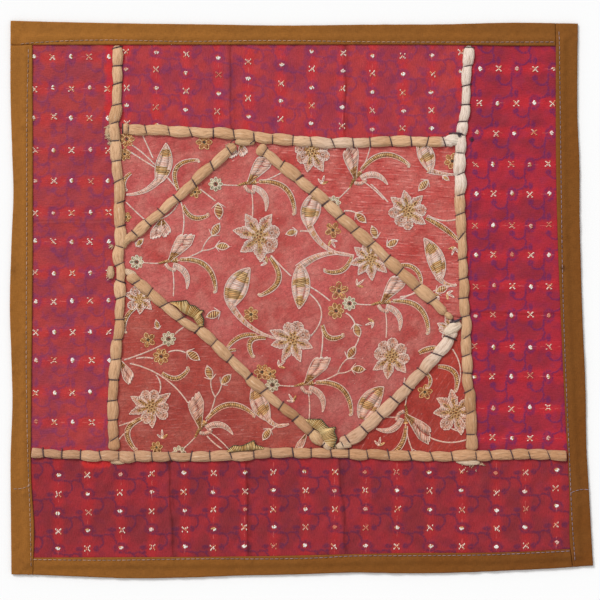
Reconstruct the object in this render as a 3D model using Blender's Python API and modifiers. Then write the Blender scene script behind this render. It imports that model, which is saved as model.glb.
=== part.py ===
"""Embroidered patchwork cushion cover, empty and lying flat on its back panel.

Metres, +Z up. The origin is the middle of the underside, and +Y is the top of the cover as it is looked at.
A plain back panel carries four silk bands and a pieced silk square. Four cotton border strips lap the outer
edges of the bands, and fat couched cords lie over the seams. The tables below are in millimetres.
"""

from collections import namedtuple

import bmesh
import bpy
import numpy as np

MM = 0.001

# Heights of the layers, in millimetres.
CLOTH = 1.0
CLEARANCE = 0.3
SILK_LEVEL = CLOTH + CLEARANCE
LAP_LEVEL = SILK_LEVEL + CLOTH + CLEARANCE
EDGE_LEVEL = SILK_LEVEL

# The border strips and their lap over the bands.
BORDER = 15.5
BACK_INSET = 0.5
SEAM_GAP = 0.4
SHARPEST = 0.5
TUCK = 3.5
LAP_FLAT = 5.0
LAP_SLOPE = 4.0

# The couched cords: full size between the threads, and drawn in under each one.
CORD_WIDTH = 7.4
CORD_HEIGHT = 3.1
PINCHED = 0.78
FULL_FROM = 0.3
CORD_PROFILE = ((-0.5, 0.36), (-0.3, 0.84), (0.0, 1.0), (0.3, 0.84), (0.5, 0.36), (0.4, 0.0), (-0.4, 0.0))

# Surface roughness of each cloth.
COTTON = 0.9
BAND_SILK = 0.55
CENTRE_SILK = 0.6
ROVING_FIBRE = 0.75

# How the silk lies: flat along its seams, then up to the crease.
FLAT_MARGIN = 4.5
FADE = 8.0
FOLD_REACH = 5.0
FOLD_CLEAR = 9.0
SECTION_STEP = 24.0
BAND_CELLS = 6
OUTLINE_POINTS = 17
SIDE_POINTS = 33
DIAMOND_CELLS = 12
CORNER_CELLS = 7

Line = namedtuple("Line", "upright along across")
Fold = namedtuple("Fold", "at height")
Swell = namedtuple("Swell", "x y reach height")
Cord = namedtuple("Cord", "name colour route start end ties")


def upright(*rows):
    """A line that runs up the cover; each row is (y, x)."""
    return Line(True, *np.array(sorted(rows), float).T)


def level(*rows):
    """A line that runs across the cover; each row is (x, y)."""
    return Line(False, *np.array(sorted(rows), float).T)


def shifted(line, by):
    return line._replace(across=line.across + by)


# Outline of the cover: slightly uneven sides, wider at the foot.
LEFT_EDGE = upright(
    (196, -204.0), (140, -204.0), (98, -202.7), (77, -202.0), (42, -203.3), (-7, -204.5),
    (-42, -203.4), (-70, -202.7), (-112, -204.0), (-150, -203.8), (-194, -203.4),
)
RIGHT_EDGE = upright(
    (194, 193.9), (165, 193.5), (125, 193.6), (97, 194.9), (55, 195.1), (28, 195.8), (-14, 197.1),
    (-63, 199.2), (-105, 199.9), (-140, 201.9), (-168, 203.4), (-187, 204.5),
)
TOP_EDGE = level(
    (-204, 195.5), (-169, 194.6), (-120, 193.6), (-64, 192.9), (-22, 192.2), (55, 192.8), (100, 193.0),
    (146, 194.1), (194, 193.5),
)
BOTTOM_EDGE = level(
    (-204, -192.8), (-190, -193.0), (-155, -194.3), (-120, -195.5), (-78, -194.9), (-43, -193.6),
    (-8, -192.9), (41, -191.5), (69, -192.0), (111, -191.5), (146, -190.0), (174, -188.7), (205, -186.5),
)

# Inner edges of the border strips.
LEFT_INNER = upright((196, -188.3), (20, -188.2), (-85, -189.2), (-126, -189.2), (-161, -187.1), (-194, -188.2))
RIGHT_INNER = upright((194, 178.0), (84, 178.3), (-70, 184.1), (-140, 187.6), (-173, 188.0), (-187, 190.0))
TOP_INNER = level((-205, 178.2), (0, 178.4), (100, 178.3), (150, 177.6), (194, 177.4))
BOTTOM_INNER = level((-204, -180.8), (-20, -179.5), (69, -177.6), (150, -176.7), (205, -173.6))

# Seams of the silk, which the cords cover.
LEFT_POST = upright(
    (184, -129.0), (143, -129.0), (122, -130.0), (104, -130.0), (73, -127.6), (-14, -127.5), (-36, -129.0),
    (-65, -132.3), (-88, -132.0), (-111, -130.8),
)
RIGHT_POST = upright(
    (184, 118.2), (162, 116.2), (132, 114.0), (115, 111.6), (84, 111.0), (52, 111.5), (34, 113.3), (0, 113.5),
    (-32, 115.0), (-60, 116.8), (-77, 118.4), (-111, 118.6),
)
TOP_RAIL = level(
    (-132, 120.0), (-106, 118.6), (-78, 117.2), (-43, 115.4), (-22, 112.6), (0, 111.0), (20, 109.6),
    (69, 110.9), (112, 110.2),
)
BOTTOM_RAIL = level(
    (-193, -106.4), (-172, -108.0), (-148, -109.1), (-99, -110.0), (-57, -109.5), (-27, -108.0),
    (-1, -107.2), (27, -108.0), (69, -109.1), (104, -109.9), (139, -108.6), (190, -109.1),
)
DIAMOND_NW = level((-121, 42.3), (-112, 49.9), (-81, 76.7), (-59, 97.0), (-46.5, 108.4))
DIAMOND_SW = level(
    (-121.5, 17.2), (-110, 8.2), (-90, -9.0), (-66, -26.0), (-43, -48.5), (-20, -69.6), (1, -87.2),
    (16, -101.4),
)
DIAMOND_SE = level((27.5, -101.2), (39, -94.4), (61, -75.0), (88, -46.2), (101, -31.0), (107.4, -21.2))
DIAMOND_NE = level(
    (-30.5, 106.7), (-20, 99.0), (2, 81.7), (32, 53.6), (54, 34.0), (74, 15.0), (95, -4.2), (102.5, -12.0),
)

# Stretches of the square's sides where the diamond's corners run out under the cords, as (from, to) along them.
WEST_SPAN = (20.0, 38.0)
NORTH_SPAN = (-41.0, -34.0)
EAST_SPAN = (-13.0, -18.0)
SOUTH_SPAN = (19.0, 25.0)

# Creases across each band, by their place along it.
LEFT_FOLDS = (Fold(105, 0.5), Fold(54, 0.8), Fold(-21, 0.5), Fold(-67, 0.4))
RIGHT_FOLDS = (Fold(126, 0.5), Fold(8.5, 0.8), Fold(-11, 0.5), Fold(-54, 0.6))
TOP_FOLDS = (Fold(-50, 0.6), Fold(30, 0.9))
BOTTOM_FOLDS = (Fold(-93, 0.7), Fold(-37, 0.5), Fold(30, 0.9), Fold(112, 0.4))

# Soft unevenness of the pieced square.
SWELLS = (
    Swell(-62, 18, 26, 0.7), Swell(-20, 62, 22, 0.6), Swell(12, -8, 30, 0.9), Swell(52, -28, 22, 0.6),
    Swell(-8, -52, 20, 0.5), Swell(-98, 92, 18, 0.5), Swell(72, 72, 26, 0.7), Swell(88, -80, 18, 0.6),
    Swell(-92, -66, 24, 0.7), Swell(22, 20, 18, -0.3),
)

ROVING = "C9A274"
CREAM_ROVING = "D8BE98"
CORDS = (
    Cord("cord_left_post", ROVING, LEFT_POST, 177.7, -105.5, (
        163.5, 151.2, 136.3, 123.6, 111.0, 97.0, 83.0, 67.9, 51.1, 37.0, 24.6, 12.7, 1.3, -13.9, -28.1, -41.9,
        -56.2, -70.8, -84.4, -97.7)),
    Cord("cord_right_post", CREAM_ROVING, RIGHT_POST, 177.4, -105.8, (
        163.5, 149.8, 136.4, 124.5, 115.4, 102.6, 87.9, 73.2, 59.9, 44.7, 28.6, 14.8, 1.1, -11.6, -26.3, -38.9,
        -51.5, -63.8, -78.8, -94.4)),
    Cord("cord_top_rail", ROVING, TOP_RAIL, -125.6, 107.0, (
        -121.1, -108.9, -92.8, -77.7, -61.6, -47.3, -33.3, -20.3, -6.0, 6.7, 22.1, 36.1, 48.0, 62.7, 76.7, 88.2,
        99.8)),
    Cord("cord_bottom_rail", ROVING, BOTTOM_RAIL, -188.7, 185.3, (
        -180.7, -167.7, -154.6, -140.8, -127.8, -116.7, -104.7, -92.1, -77.4, -64.1, -49.4, -33.4, -21.4, -6.0,
        6.7, 20.7, 33.1, 46.2, 61.1, 76.0, 91.1, 105.4, 122.1, 132.5, 147.3, 159.3, 173.0)),
    Cord("cord_diamond_nw", ROVING, DIAMOND_NW, -121.0, -46.5, (
        -116.6, -107.5, -98.4, -87.5, -75.3, -62.7, -50.8)),
    Cord("cord_diamond_sw", ROVING, DIAMOND_SW, -121.5, 16.0, (
        -115.2, -106.1, -96.3, -84.4, -72.5, -61.3, -50.1, -36.8, -26.3, -14.4, -3.9, 6.7)),
    Cord("cord_diamond_se", ROVING, DIAMOND_SE, 27.5, 107.4, (32.6, 43.8, 55.0, 65.5, 74.6, 84.4, 94.9, 104.0)),
    Cord("cord_diamond_ne", ROVING, DIAMOND_NE, -30.5, 102.5, (
        -25.6, -13.7, -1.8, 8.1, 17.2, 27.0, 37.5, 48.7, 59.9, 69.0, 80.9, 91.4)),
)


def across(line, along):
    """Place of the smooth curve through a line's rows: a cubic on each span, with the rows' own mean slopes."""
    knots, values = line.along, line.across
    slopes = np.gradient(values, knots)
    span = np.clip(np.searchsorted(knots, along) - 1, 0, len(knots) - 2)
    width = knots[span + 1] - knots[span]
    t = np.clip((along - knots[span]) / width, 0.0, 1.0)
    start = (1 + 2 * t) * (1 - t) ** 2 * values[span] + t * (1 - t) ** 2 * width * slopes[span]
    end = t**2 * (3 - 2 * t) * values[span + 1] - t**2 * (1 - t) * width * slopes[span + 1]
    return start + end


def stretch(line, start, end, count=SIDE_POINTS):
    """Points (x, y) along a line, from one place on it to another."""
    along = np.linspace(start, end, count)
    pair = (across(line, along), along) if line.upright else (along, across(line, along))
    return np.stack(pair, axis=1)


def crossing(up, over):
    """Where an upright line meets a level one."""
    x = y = 0.0
    for _ in range(8):
        x = float(across(up, y))
        y = float(across(over, x))
    return x, y


def soft_step(value):
    value = np.clip(value, 0.0, 1.0)
    return value * value * (3 - 2 * value)


def part_way(points, shares):
    """The points at the given shares of a polyline's length."""
    run = np.concatenate(([0.0], np.cumsum(np.linalg.norm(np.diff(points, axis=0), axis=1))))
    return np.stack([np.interp(shares * run[-1], run, points[:, axis]) for axis in (0, 1)], axis=1)


def drawn_in(loop, by):
    """A loop that runs anticlockwise, with each point moved inwards square to its two edges."""
    edge = np.roll(loop, -1, axis=0) - loop
    edge /= np.linalg.norm(edge, axis=1, keepdims=True)
    after = np.stack((-edge[:, 1], edge[:, 0]), axis=1)
    before = np.roll(after, 1, axis=0)
    spread = 1 + np.sum(after * before, axis=1, keepdims=True)
    return loop + by * (after + before) / np.maximum(spread, SHARPEST)


def four_sided(south, east, north, west, columns, rows):
    """Grid of points [column, row] between four sides: the two ruled surfaces less the one through the corners.

    South and north run to the right, east and west run up. The rim is drawn in by half a seam gap.
    """
    last_column, last_row = len(columns) - 1, len(rows) - 1
    loop = np.concatenate((
        part_way(south, columns)[:-1], part_way(east, rows)[:-1],
        part_way(north, columns)[:0:-1], part_way(west, rows)[:0:-1],
    ))
    loop = drawn_in(loop, SEAM_GAP / 2)
    corner = np.cumsum((0, last_column, last_row, last_column))
    low = loop[: corner[1] + 1]
    right = loop[corner[1]: corner[2] + 1]
    high = loop[corner[2]: corner[3] + 1][::-1]
    left = np.concatenate((loop[corner[3]:], loop[:1]))[::-1]
    u = columns[:, None, None]
    v = rows[None, :, None]
    ruled = (1 - v) * low[:, None] + v * high[:, None] + (1 - u) * left[None] + u * right[None]
    corners = (1 - u) * ((1 - v) * low[0] + v * high[0]) + u * ((1 - v) * low[-1] + v * high[-1])
    return ruled - corners


def calm(grid):
    """0 where a sheet lies flat along its rim, 1 well inside it."""
    rim = np.concatenate((grid[0], grid[-1], grid[:, 0], grid[:, -1]))
    away = np.linalg.norm(grid[:, :, None] - rim, axis=3).min(axis=2)
    return soft_step((away - FLAT_MARGIN) / FADE)


def sections(start, end, folds):
    """Places of a band's cross sections, as shares of its length, and the height of the crease at each."""
    count = int(round(abs(end - start) / SECTION_STEP))
    even = np.linspace(start, end, count + 1)
    near = [min(abs(place - fold.at) for fold in folds) > FOLD_CLEAR for place in even]
    near[0] = near[-1] = True
    places = {float(place): 0.0 for place, keep in zip(even, near) if keep}
    for fold in folds:
        places.update({fold.at - FOLD_REACH: 0.0, fold.at: fold.height, fold.at + FOLD_REACH: 0.0})
    ordered = np.array(sorted(places))
    return (ordered - start) / (end - start), np.array([places[place] for place in ordered])


def finish(name, colour, roughness):
    """A plain cloth material from a six-digit display colour."""
    display = np.array([int(colour[i: i + 2], 16) for i in (0, 2, 4)]) / 255
    linear = np.where(display > 0.04045, ((display + 0.055) / 1.055) ** 2.4, display / 12.92)
    material = bpy.data.materials.new(name)
    material.use_nodes = True
    shader = material.node_tree.nodes["Principled BSDF"]
    shader.inputs["Base Color"].default_value = (*linear, 1.0)
    shader.inputs["Roughness"].default_value = roughness
    shader.inputs["Metallic"].default_value = 0.0
    return material


def place(name, data, location, colour, roughness):
    """An object of the cover, parented to the empty at its origin."""
    piece = bpy.data.objects.new(name, data)
    piece.location = location
    piece.parent = COVER
    data.materials.append(finish(name, colour, roughness))
    COLLECTION.objects.link(piece)
    return piece


def sheet(name, grid, height, colour, roughness):
    """Cloth over a grid of points: height is its underside, and it is solidified upwards."""
    middle = grid.reshape(-1, 2).mean(axis=0)
    columns, rows = grid.shape[0] - 1, grid.shape[1] - 1
    cage = bmesh.new()
    bmesh.ops.create_grid(cage, x_segments=columns, y_segments=rows, size=1.0)
    mesh = bpy.data.meshes.new(name)
    cage.to_mesh(mesh)
    cage.free()
    points = np.empty(len(mesh.vertices) * 3, np.float32)
    mesh.vertices.foreach_get("co", points)
    share = (points.reshape(-1, 3)[:, :2] + 1) / 2
    i, j = np.rint(share * (columns, rows)).astype(int).T
    placed = np.column_stack((grid[i, j] - middle, height[i, j])) * MM
    mesh.vertices.foreach_set("co", placed.astype(np.float32).ravel())
    mesh.update()
    mesh.shade_smooth()
    piece = place(name, mesh, (*(middle * MM), 0.0), colour, roughness)
    wall = piece.modifiers.new("cloth", "SOLIDIFY")
    wall.thickness = CLOTH * MM
    wall.offset = 1.0
    wall.use_even_offset = True
    return piece


def back_panel():
    """The plain back: a flat outline a little inside the border's edge."""
    left, right, count = LEFT_EDGE, RIGHT_EDGE, OUTLINE_POINTS
    loop = np.concatenate((
        stretch(BOTTOM_EDGE, *(crossing(side, BOTTOM_EDGE)[0] for side in (left, right)), count)[:-1],
        stretch(right, *(crossing(right, side)[1] for side in (BOTTOM_EDGE, TOP_EDGE)), count)[:-1],
        stretch(TOP_EDGE, *(crossing(side, TOP_EDGE)[0] for side in (right, left)), count)[:-1],
        stretch(left, *(crossing(left, side)[1] for side in (TOP_EDGE, BOTTOM_EDGE)), count)[:-1],
    ))
    loop = drawn_in(loop, BACK_INSET) * MM
    outline = bpy.data.curves.new("back_panel", "CURVE")
    outline.dimensions = "2D"
    outline.fill_mode = "BOTH"
    outline.extrude = CLOTH / 2 * MM
    spline = outline.splines.new("POLY")
    spline.points.add(len(loop) - 1)
    level_points = np.column_stack((loop, np.zeros(len(loop)), np.ones(len(loop))))
    spline.points.foreach_set("co", level_points.ravel())
    spline.use_cyclic_u = True
    place("back_panel", outline, (0.0, 0.0, CLOTH / 2 * MM), "96652B", COTTON)


def silk_bands():
    """The four bands: their seams under the cords, their outer edges tucked under the border."""
    left_tuck, right_tuck = shifted(LEFT_INNER, -TUCK), shifted(RIGHT_INNER, TUCK)
    top_tuck, bottom_tuck = shifted(TOP_INNER, TUCK), shifted(BOTTOM_INNER, -TUCK)
    bands = (
        ("band_left", "A8333F", left_tuck, LEFT_POST, BOTTOM_RAIL, top_tuck, LEFT_FOLDS),
        ("band_top", "A93440", LEFT_POST, RIGHT_POST, TOP_RAIL, top_tuck, TOP_FOLDS),
        ("band_right", "B62C40", RIGHT_POST, right_tuck, BOTTOM_RAIL, top_tuck, RIGHT_FOLDS),
        ("band_bottom", "AE3039", left_tuck, right_tuck, bottom_tuck, BOTTOM_RAIL, BOTTOM_FOLDS),
    )
    even = np.linspace(0, 1, BAND_CELLS + 1)
    for name, colour, west, east, south, north, folds in bands:
        sw, se, nw, ne = (crossing(up, over) for over in (south, north) for up in (west, east))
        stands = name in ("band_left", "band_right")
        ends = (sw[1], nw[1]) if stands else (sw[0], se[0])
        places, heights = sections(*ends, folds)
        columns, rows = (even, places) if stands else (places, even)
        grid = four_sided(
            stretch(south, sw[0], se[0]), stretch(east, se[1], ne[1]),
            stretch(north, nw[0], ne[0]), stretch(west, sw[1], nw[1]), columns, rows,
        )
        crease = heights[None, :] if stands else heights[:, None]
        sheet(name, grid, SILK_LEVEL + crease * calm(grid), colour, BAND_SILK)


def joined(*parts):
    """One run of points from points and lists of points."""
    return np.concatenate([np.atleast_2d(np.array(part, float)) for part in parts])


def swelling(grid):
    """Sum of round soft swells, each falling away as a bell from its middle."""
    height = np.zeros(grid.shape[:2])
    for swell in SWELLS:
        away = np.hypot(grid[..., 0] - swell.x, grid[..., 1] - swell.y)
        height += swell.height * np.exp(-((away / swell.reach) ** 2))
    return height


def centre_pieces():
    """The diamond and the four corners. A corner's long side is two of its four sides, parted at the middle."""
    diagonals = (DIAMOND_NW, DIAMOND_SW, DIAMOND_SE, DIAMOND_NE)
    nw, sw, se, ne = (stretch(line, line.along[0], line.along[-1]) for line in diagonals)
    half = len(nw) // 2
    top_left, top_right = crossing(LEFT_POST, TOP_RAIL), crossing(RIGHT_POST, TOP_RAIL)
    low_left, low_right = crossing(LEFT_POST, BOTTOM_RAIL), crossing(RIGHT_POST, BOTTOM_RAIL)
    w, n = stretch(LEFT_POST, *WEST_SPAN, 3), stretch(TOP_RAIL, *NORTH_SPAN, 3)
    e, s = stretch(RIGHT_POST, *EAST_SPAN, 3), stretch(BOTTOM_RAIL, *SOUTH_SPAN, 3)
    pieces = (
        (
            "centre_diamond", "C4646A", DIAMOND_CELLS,
            joined(w[1], w[0], sw, s[0], s[1]), joined(s[1], s[2], se, e[2], e[1]),
            joined(n[1], n[2], ne, e[0], e[1]), joined(w[1], w[2], nw, n[0], n[1]),
        ),
        (
            "corner_nw", "BE5558", CORNER_CELLS,
            joined(w[2], nw[: half + 1]), joined(nw[half:], n[0]),
            stretch(TOP_RAIL, top_left[0], n[0][0]), joined(w[2], stretch(LEFT_POST, w[2][1], top_left[1])),
        ),
        (
            "corner_ne", "BC4E52", CORNER_CELLS,
            joined(n[2], ne[: half + 1]), joined(ne[half:], e[0]),
            stretch(RIGHT_POST, top_right[1], e[0][1]), stretch(TOP_RAIL, n[2][0], top_right[0]),
        ),
        (
            "corner_se", "B8403E", CORNER_CELLS,
            stretch(BOTTOM_RAIL, s[2][0], low_right[0]), stretch(RIGHT_POST, low_right[1], e[2][1]),
            joined(se[half:], e[2]), joined(s[2], se[: half + 1]),
        ),
        (
            "corner_sw", "C05A5C", CORNER_CELLS,
            stretch(BOTTOM_RAIL, low_left[0], s[0][0]), joined(sw[half:], s[0])[::-1],
            joined(w[0], sw[: half + 1]), stretch(LEFT_POST, low_left[1], w[0][1]),
        ),
    )
    for name, colour, cells, south, east, north, west in pieces:
        even = np.linspace(0, 1, cells + 1)
        grid = four_sided(south, east, north, west, even, even)
        sheet(name, grid, SILK_LEVEL + swelling(grid) * calm(grid), colour, CENTRE_SILK)


def lapped(grid):
    """Underside of a border strip: over the silk at its inner edge, then down a soft slope to the back."""
    x, y = grid[..., 0], grid[..., 1]
    outside = np.maximum.reduce((
        across(LEFT_INNER, y) - x, x - across(RIGHT_INNER, y),
        y - across(TOP_INNER, x), across(BOTTOM_INNER, x) - y,
    ))
    return LAP_LEVEL + (EDGE_LEVEL - LAP_LEVEL) * soft_step((outside - LAP_FLAT) / LAP_SLOPE)


def border_strips():
    """The four strips. Each has a row of points at the head and foot of the slope, at its corners too."""
    strips = (
        ("border_left", "A0702E", LEFT_EDGE, LEFT_INNER, BOTTOM_EDGE, TOP_INNER),
        ("border_top", "96662B", LEFT_EDGE, RIGHT_INNER, TOP_INNER, TOP_EDGE),
        ("border_right", "7E4E1F", RIGHT_INNER, RIGHT_EDGE, BOTTOM_EDGE, TOP_EDGE),
        ("border_bottom", "86582B", LEFT_INNER, RIGHT_INNER, BOTTOM_EDGE, BOTTOM_INNER),
    )
    steps = np.array((0.0, BORDER - LAP_FLAT - LAP_SLOPE, BORDER - LAP_FLAT, BORDER))
    for name, colour, west, east, south, north in strips:
        sw, se, nw, ne = (crossing(up, over) for over in (south, north) for up in (west, east))
        stands = name in ("border_left", "border_right")
        length = nw[1] - sw[1] if stands else se[0] - sw[0]
        count = int(round(length / SECTION_STEP))
        between = np.linspace(BORDER, length - BORDER, count)
        along = np.concatenate((steps[:-1], between, (length - steps)[-2::-1]))
        over = steps / BORDER if name in ("border_left", "border_bottom") else 1 - steps[::-1] / BORDER
        columns, rows = (over, along / length) if stands else (along / length, over)
        grid = four_sided(
            stretch(south, sw[0], se[0]), stretch(east, se[1], ne[1]),
            stretch(north, nw[0], ne[0]), stretch(west, sw[1], nw[1]), columns, rows,
        )
        sheet(name, grid, lapped(grid), colour, COTTON)


def cord_profile():
    """The half-round section that every cord is swept with, at full size and hidden."""
    outline = bpy.data.curves.new("cord_profile", "CURVE")
    outline.dimensions = "2D"
    spline = outline.splines.new("POLY")
    spline.points.add(len(CORD_PROFILE) - 1)
    for point, (x, y) in zip(spline.points, CORD_PROFILE):
        point.co = (x * CORD_WIDTH * MM, y * CORD_HEIGHT * MM, 0.0, 1.0)
    spline.use_cyclic_u = True
    guide = bpy.data.objects.new("cord_profile", outline)
    guide.hide_render = True
    guide.display_type = "WIRE"
    GUIDES.objects.link(guide)
    return guide


def couched_cord(cord, profile):
    """A cord swept along its seam: full between two threads, drawn in under each thread and at its ends."""
    bounds = (cord.start, *cord.ties, cord.end)
    along, size = [], []
    for near, far in zip(bounds, bounds[1:]):
        along += [near, near + FULL_FROM * (far - near), far - FULL_FROM * (far - near)]
        size += [PINCHED, 1.0, 1.0]
    along = np.array(along + [cord.end])
    other = across(cord.route, along)
    points = np.stack((other, along) if cord.route.upright else (along, other), axis=1)
    middle = points.mean(axis=0)
    curve = bpy.data.curves.new(cord.name, "CURVE")
    curve.dimensions = "3D"
    curve.twist_mode = "Z_UP"
    curve.bevel_mode = "OBJECT"
    curve.bevel_object = profile
    curve.use_fill_caps = True
    spline = curve.splines.new("POLY")
    spline.points.add(len(points) - 1)
    for point, (x, y), radius in zip(spline.points, (points - middle) * MM, size + [PINCHED]):
        point.co = (x, y, 0.0, 1.0)
        point.radius = radius
    place(cord.name, curve, (*(middle * MM), LAP_LEVEL * MM), cord.colour, ROVING_FIBRE)


for leftover in list(bpy.data.objects):
    bpy.data.objects.remove(leftover)
COLLECTION = bpy.data.collections.new("embroidered_cushion_cover")
GUIDES = bpy.data.collections.new("guides")
for collection in (COLLECTION, GUIDES):
    bpy.context.scene.collection.children.link(collection)
COVER = bpy.data.objects.new("cover", None)
COLLECTION.objects.link(COVER)
back_panel()
silk_bands()
centre_pieces()
border_strips()
half_round = cord_profile()
for cord in CORDS:
    couched_cord(cord, half_round)
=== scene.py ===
"""The looks of the patchwork cushion cover: finer cloth, couched cords, stitching, embroidery and finishes.

The tables are in millimetres in the cover's own frame: +X to its right, +Y to its top, +Z out of its face.
"""

import math
from collections import namedtuple

import bpy
import numpy as np
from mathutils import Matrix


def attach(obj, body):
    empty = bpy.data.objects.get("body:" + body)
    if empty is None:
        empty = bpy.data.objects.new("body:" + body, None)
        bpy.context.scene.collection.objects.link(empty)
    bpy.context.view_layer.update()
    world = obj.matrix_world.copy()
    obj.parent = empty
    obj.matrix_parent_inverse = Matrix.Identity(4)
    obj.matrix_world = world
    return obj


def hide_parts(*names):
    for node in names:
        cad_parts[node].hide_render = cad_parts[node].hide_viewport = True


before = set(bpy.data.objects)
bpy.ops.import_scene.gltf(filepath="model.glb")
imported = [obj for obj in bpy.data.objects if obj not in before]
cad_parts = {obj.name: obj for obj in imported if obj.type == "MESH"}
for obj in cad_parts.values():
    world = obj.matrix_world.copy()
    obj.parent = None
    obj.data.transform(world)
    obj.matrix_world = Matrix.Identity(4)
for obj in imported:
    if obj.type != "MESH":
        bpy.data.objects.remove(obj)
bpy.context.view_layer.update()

MM = 0.001
UPWARD = np.array((0.0, 0.0, 1.0))
chance = np.random.default_rng(31)

# Heights of the layers.
CLOTH = 1.0
BACK_FACE = 1.05
SILK_LEVEL = 1.3
SILK_FACE = SILK_LEVEL + CLOTH
LAP_LEVEL = 2.6
LAP_FOOT = 2.3
EDGE_LEVEL = 1.3
EDGE_FOOT = 1.05
CORD_FOOT = 2.2

# The border strips. The steps are how far in from a folded edge their rows stand.
BACK_INSET = 0.5
SEAM_GAP = 0.16
SHARPEST = 0.5
TUCK = 3.5
LAP_FLAT = 5.0
LAP_SLOPE = 4.0
STITCH = 3.45
STRIP_STEPS = np.array((
    0, 0.12, 0.35, 0.7, 1.2, 2.4, 3.8, 5.2, 6.6, 8, 9.3, 10.4, 11.1, 11.7, 12.3, 12.9, 13.5, 14.1, 14.6, 15,
    15.25, 15.5,
))

# The couched cords. A stray is (place along the cord, how far to its right, and how far along it reaches).
CORD_WIDTH = 7.6
CORD_HEIGHT = 3.1
LEAN = 0.62
OPEN_END = 5.0
GIRTHS = {"cord_diamond_se": 1.14, "cord_diamond_ne": 1.04, "cord_diamond_nw": 0.93, "cord_right_post": 0.94}
TINTS = {"cord_right_post": 0.92, "cord_diamond_ne": 0.93, "cord_diamond_nw": 0.95, "cord_diamond_sw": 0.94}
STRAYS = {
    "cord_left_post": ((29, 1.7, 9), (122, 1.2, 8), (-34, 0.6, 9)),
    "cord_right_post": ((-18, -1.3, 9), (135, -0.6, 8), (30, 0.6, 8)),
}

# Section of a cord, half its width and its height both 1: an arch on a flat foot.
ARCH_POINTS = 18
FOOT_POINTS = 4
ARCH_TURN = np.linspace(0, math.pi, ARCH_POINTS)
SECTION_X = np.concatenate((
    np.sign(np.cos(ARCH_TURN)) * np.abs(np.cos(ARCH_TURN)) ** 0.8, np.linspace(-0.85, 0.85, FOOT_POINTS),
))
SECTION_Z = np.concatenate((0.14 + 0.86 * np.sin(ARCH_TURN) ** 0.75, np.zeros(FOOT_POINTS)))
ROUND_IT = np.arange(len(SECTION_X)) / len(SECTION_X)

# How finely the pieces are modelled.
CELL = 1.7
BACK_CELL = 5.0
STRIP_CELL = 1.6
CREASE_CELL = 0.54
CREASE_REACH = 3.0
CORD_STEP = 0.75
AT_ONCE = 4000

# The pitch of satin stitches, and the shares of a stitch at which its sections stand.
SATIN = 0.62
STITCH_PLACES = (0.0, 0.5, 1.0)

# The studio: the floor's reach, and the camera's lens, film and view across the cover, in metres.
FLOOR_REACH = 3000.0
LENS = 100.0
FILM = 36.0
SEEN = 0.42

Line = namedtuple("Line", "upright along across")
Swell = namedtuple("Swell", "x y reach height")
Crease = namedtuple("Crease", "band at slant height cut")
Cord = namedtuple("Cord", "name route start end ties")
Lattice = namedtuple("Lattice", "upright lines starts pitch first last odd")


def upright(*rows):
    """A line that runs up the cover; each row is (y, x)."""
    return Line(True, *np.array(sorted(rows), float).T)


def level(*rows):
    """A line that runs across the cover; each row is (x, y)."""
    return Line(False, *np.array(sorted(rows), float).T)


def shifted(line, by):
    """The same line, moved square to its way."""
    return line._replace(across=line.across + by)


# Outline of the cover.
LEFT_EDGE = upright(
    (196, -204), (140, -204), (98, -202.7), (77, -202), (42, -203.3), (-7, -204.5), (-42, -203.4),
    (-70, -202.7), (-112, -204), (-150, -203.8), (-194, -203.4),
)
RIGHT_EDGE = upright(
    (194, 193.9), (165, 193.5), (125, 193.6), (97, 194.9), (55, 195.1), (28, 195.8), (-14, 197.1),
    (-63, 199.2), (-105, 199.9), (-140, 201.9), (-168, 203.4), (-187, 204.5),
)
TOP_EDGE = level(
    (-204, 195.5), (-169, 194.6), (-120, 193.6), (-64, 192.9), (-22, 192.2), (55, 192.8), (100, 193),
    (146, 194.1), (194, 193.5),
)
BOTTOM_EDGE = level(
    (-204, -192.8), (-190, -193), (-155, -194.3), (-120, -195.5), (-78, -194.9), (-43, -193.6),
    (-8, -192.9), (41, -191.5), (69, -192), (111, -191.5), (146, -190), (174, -188.7), (205, -186.5),
)

# Inner edges of the border strips.
LEFT_INNER = upright(
    (196, -188.3), (20, -188.2), (-85, -189.2), (-126, -189.2), (-161, -187.1), (-194, -188.2),
)
RIGHT_INNER = upright((194, 178), (84, 178.3), (-70, 184.1), (-140, 187.6), (-173, 188), (-187, 190))
TOP_INNER = level((-205, 178.2), (0, 178.4), (100, 178.3), (150, 177.6), (194, 177.4))
BOTTOM_INNER = level((-204, -180.8), (-20, -179.5), (69, -177.6), (150, -176.7), (205, -173.6))

# Top stitching of the border strips, and the short seams that join their lengths.
LEFT_STITCHED = upright(
    (175.5, -191), (147, -191.8), (50, -192.2), (-70, -192.3), (-119, -191.2), (-151, -189.9),
    (-187, -189.2),
)
TOP_STITCHED = level(
    (-197, 178.9), (-184, 179.9), (-171, 180.7), (-140, 181.5), (-85, 180.6), (-18, 181.2), (49, 180.3),
    (116, 180.1), (177, 180.2),
)
RIGHT_STITCHED = upright(
    (188, 180.3), (84, 181.6), (0, 183), (-70, 185.6), (-124, 188), (-160, 189.6), (-183, 191.4),
)
BOTTOM_STITCHED = level(
    (-188, -181.9), (-140, -182.4), (-67, -181.4), (-17, -181.4), (10, -180.8), (32, -179.6),
    (78, -179.2), (131, -178.6), (150, -177.9), (188, -175.9),
)
CROSS_SEAMS = (((-202, -132.6), (-189.5, -129.4), -1.2), ((188.5, -135.2), (201.3, -133.2), 1.1))

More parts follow.
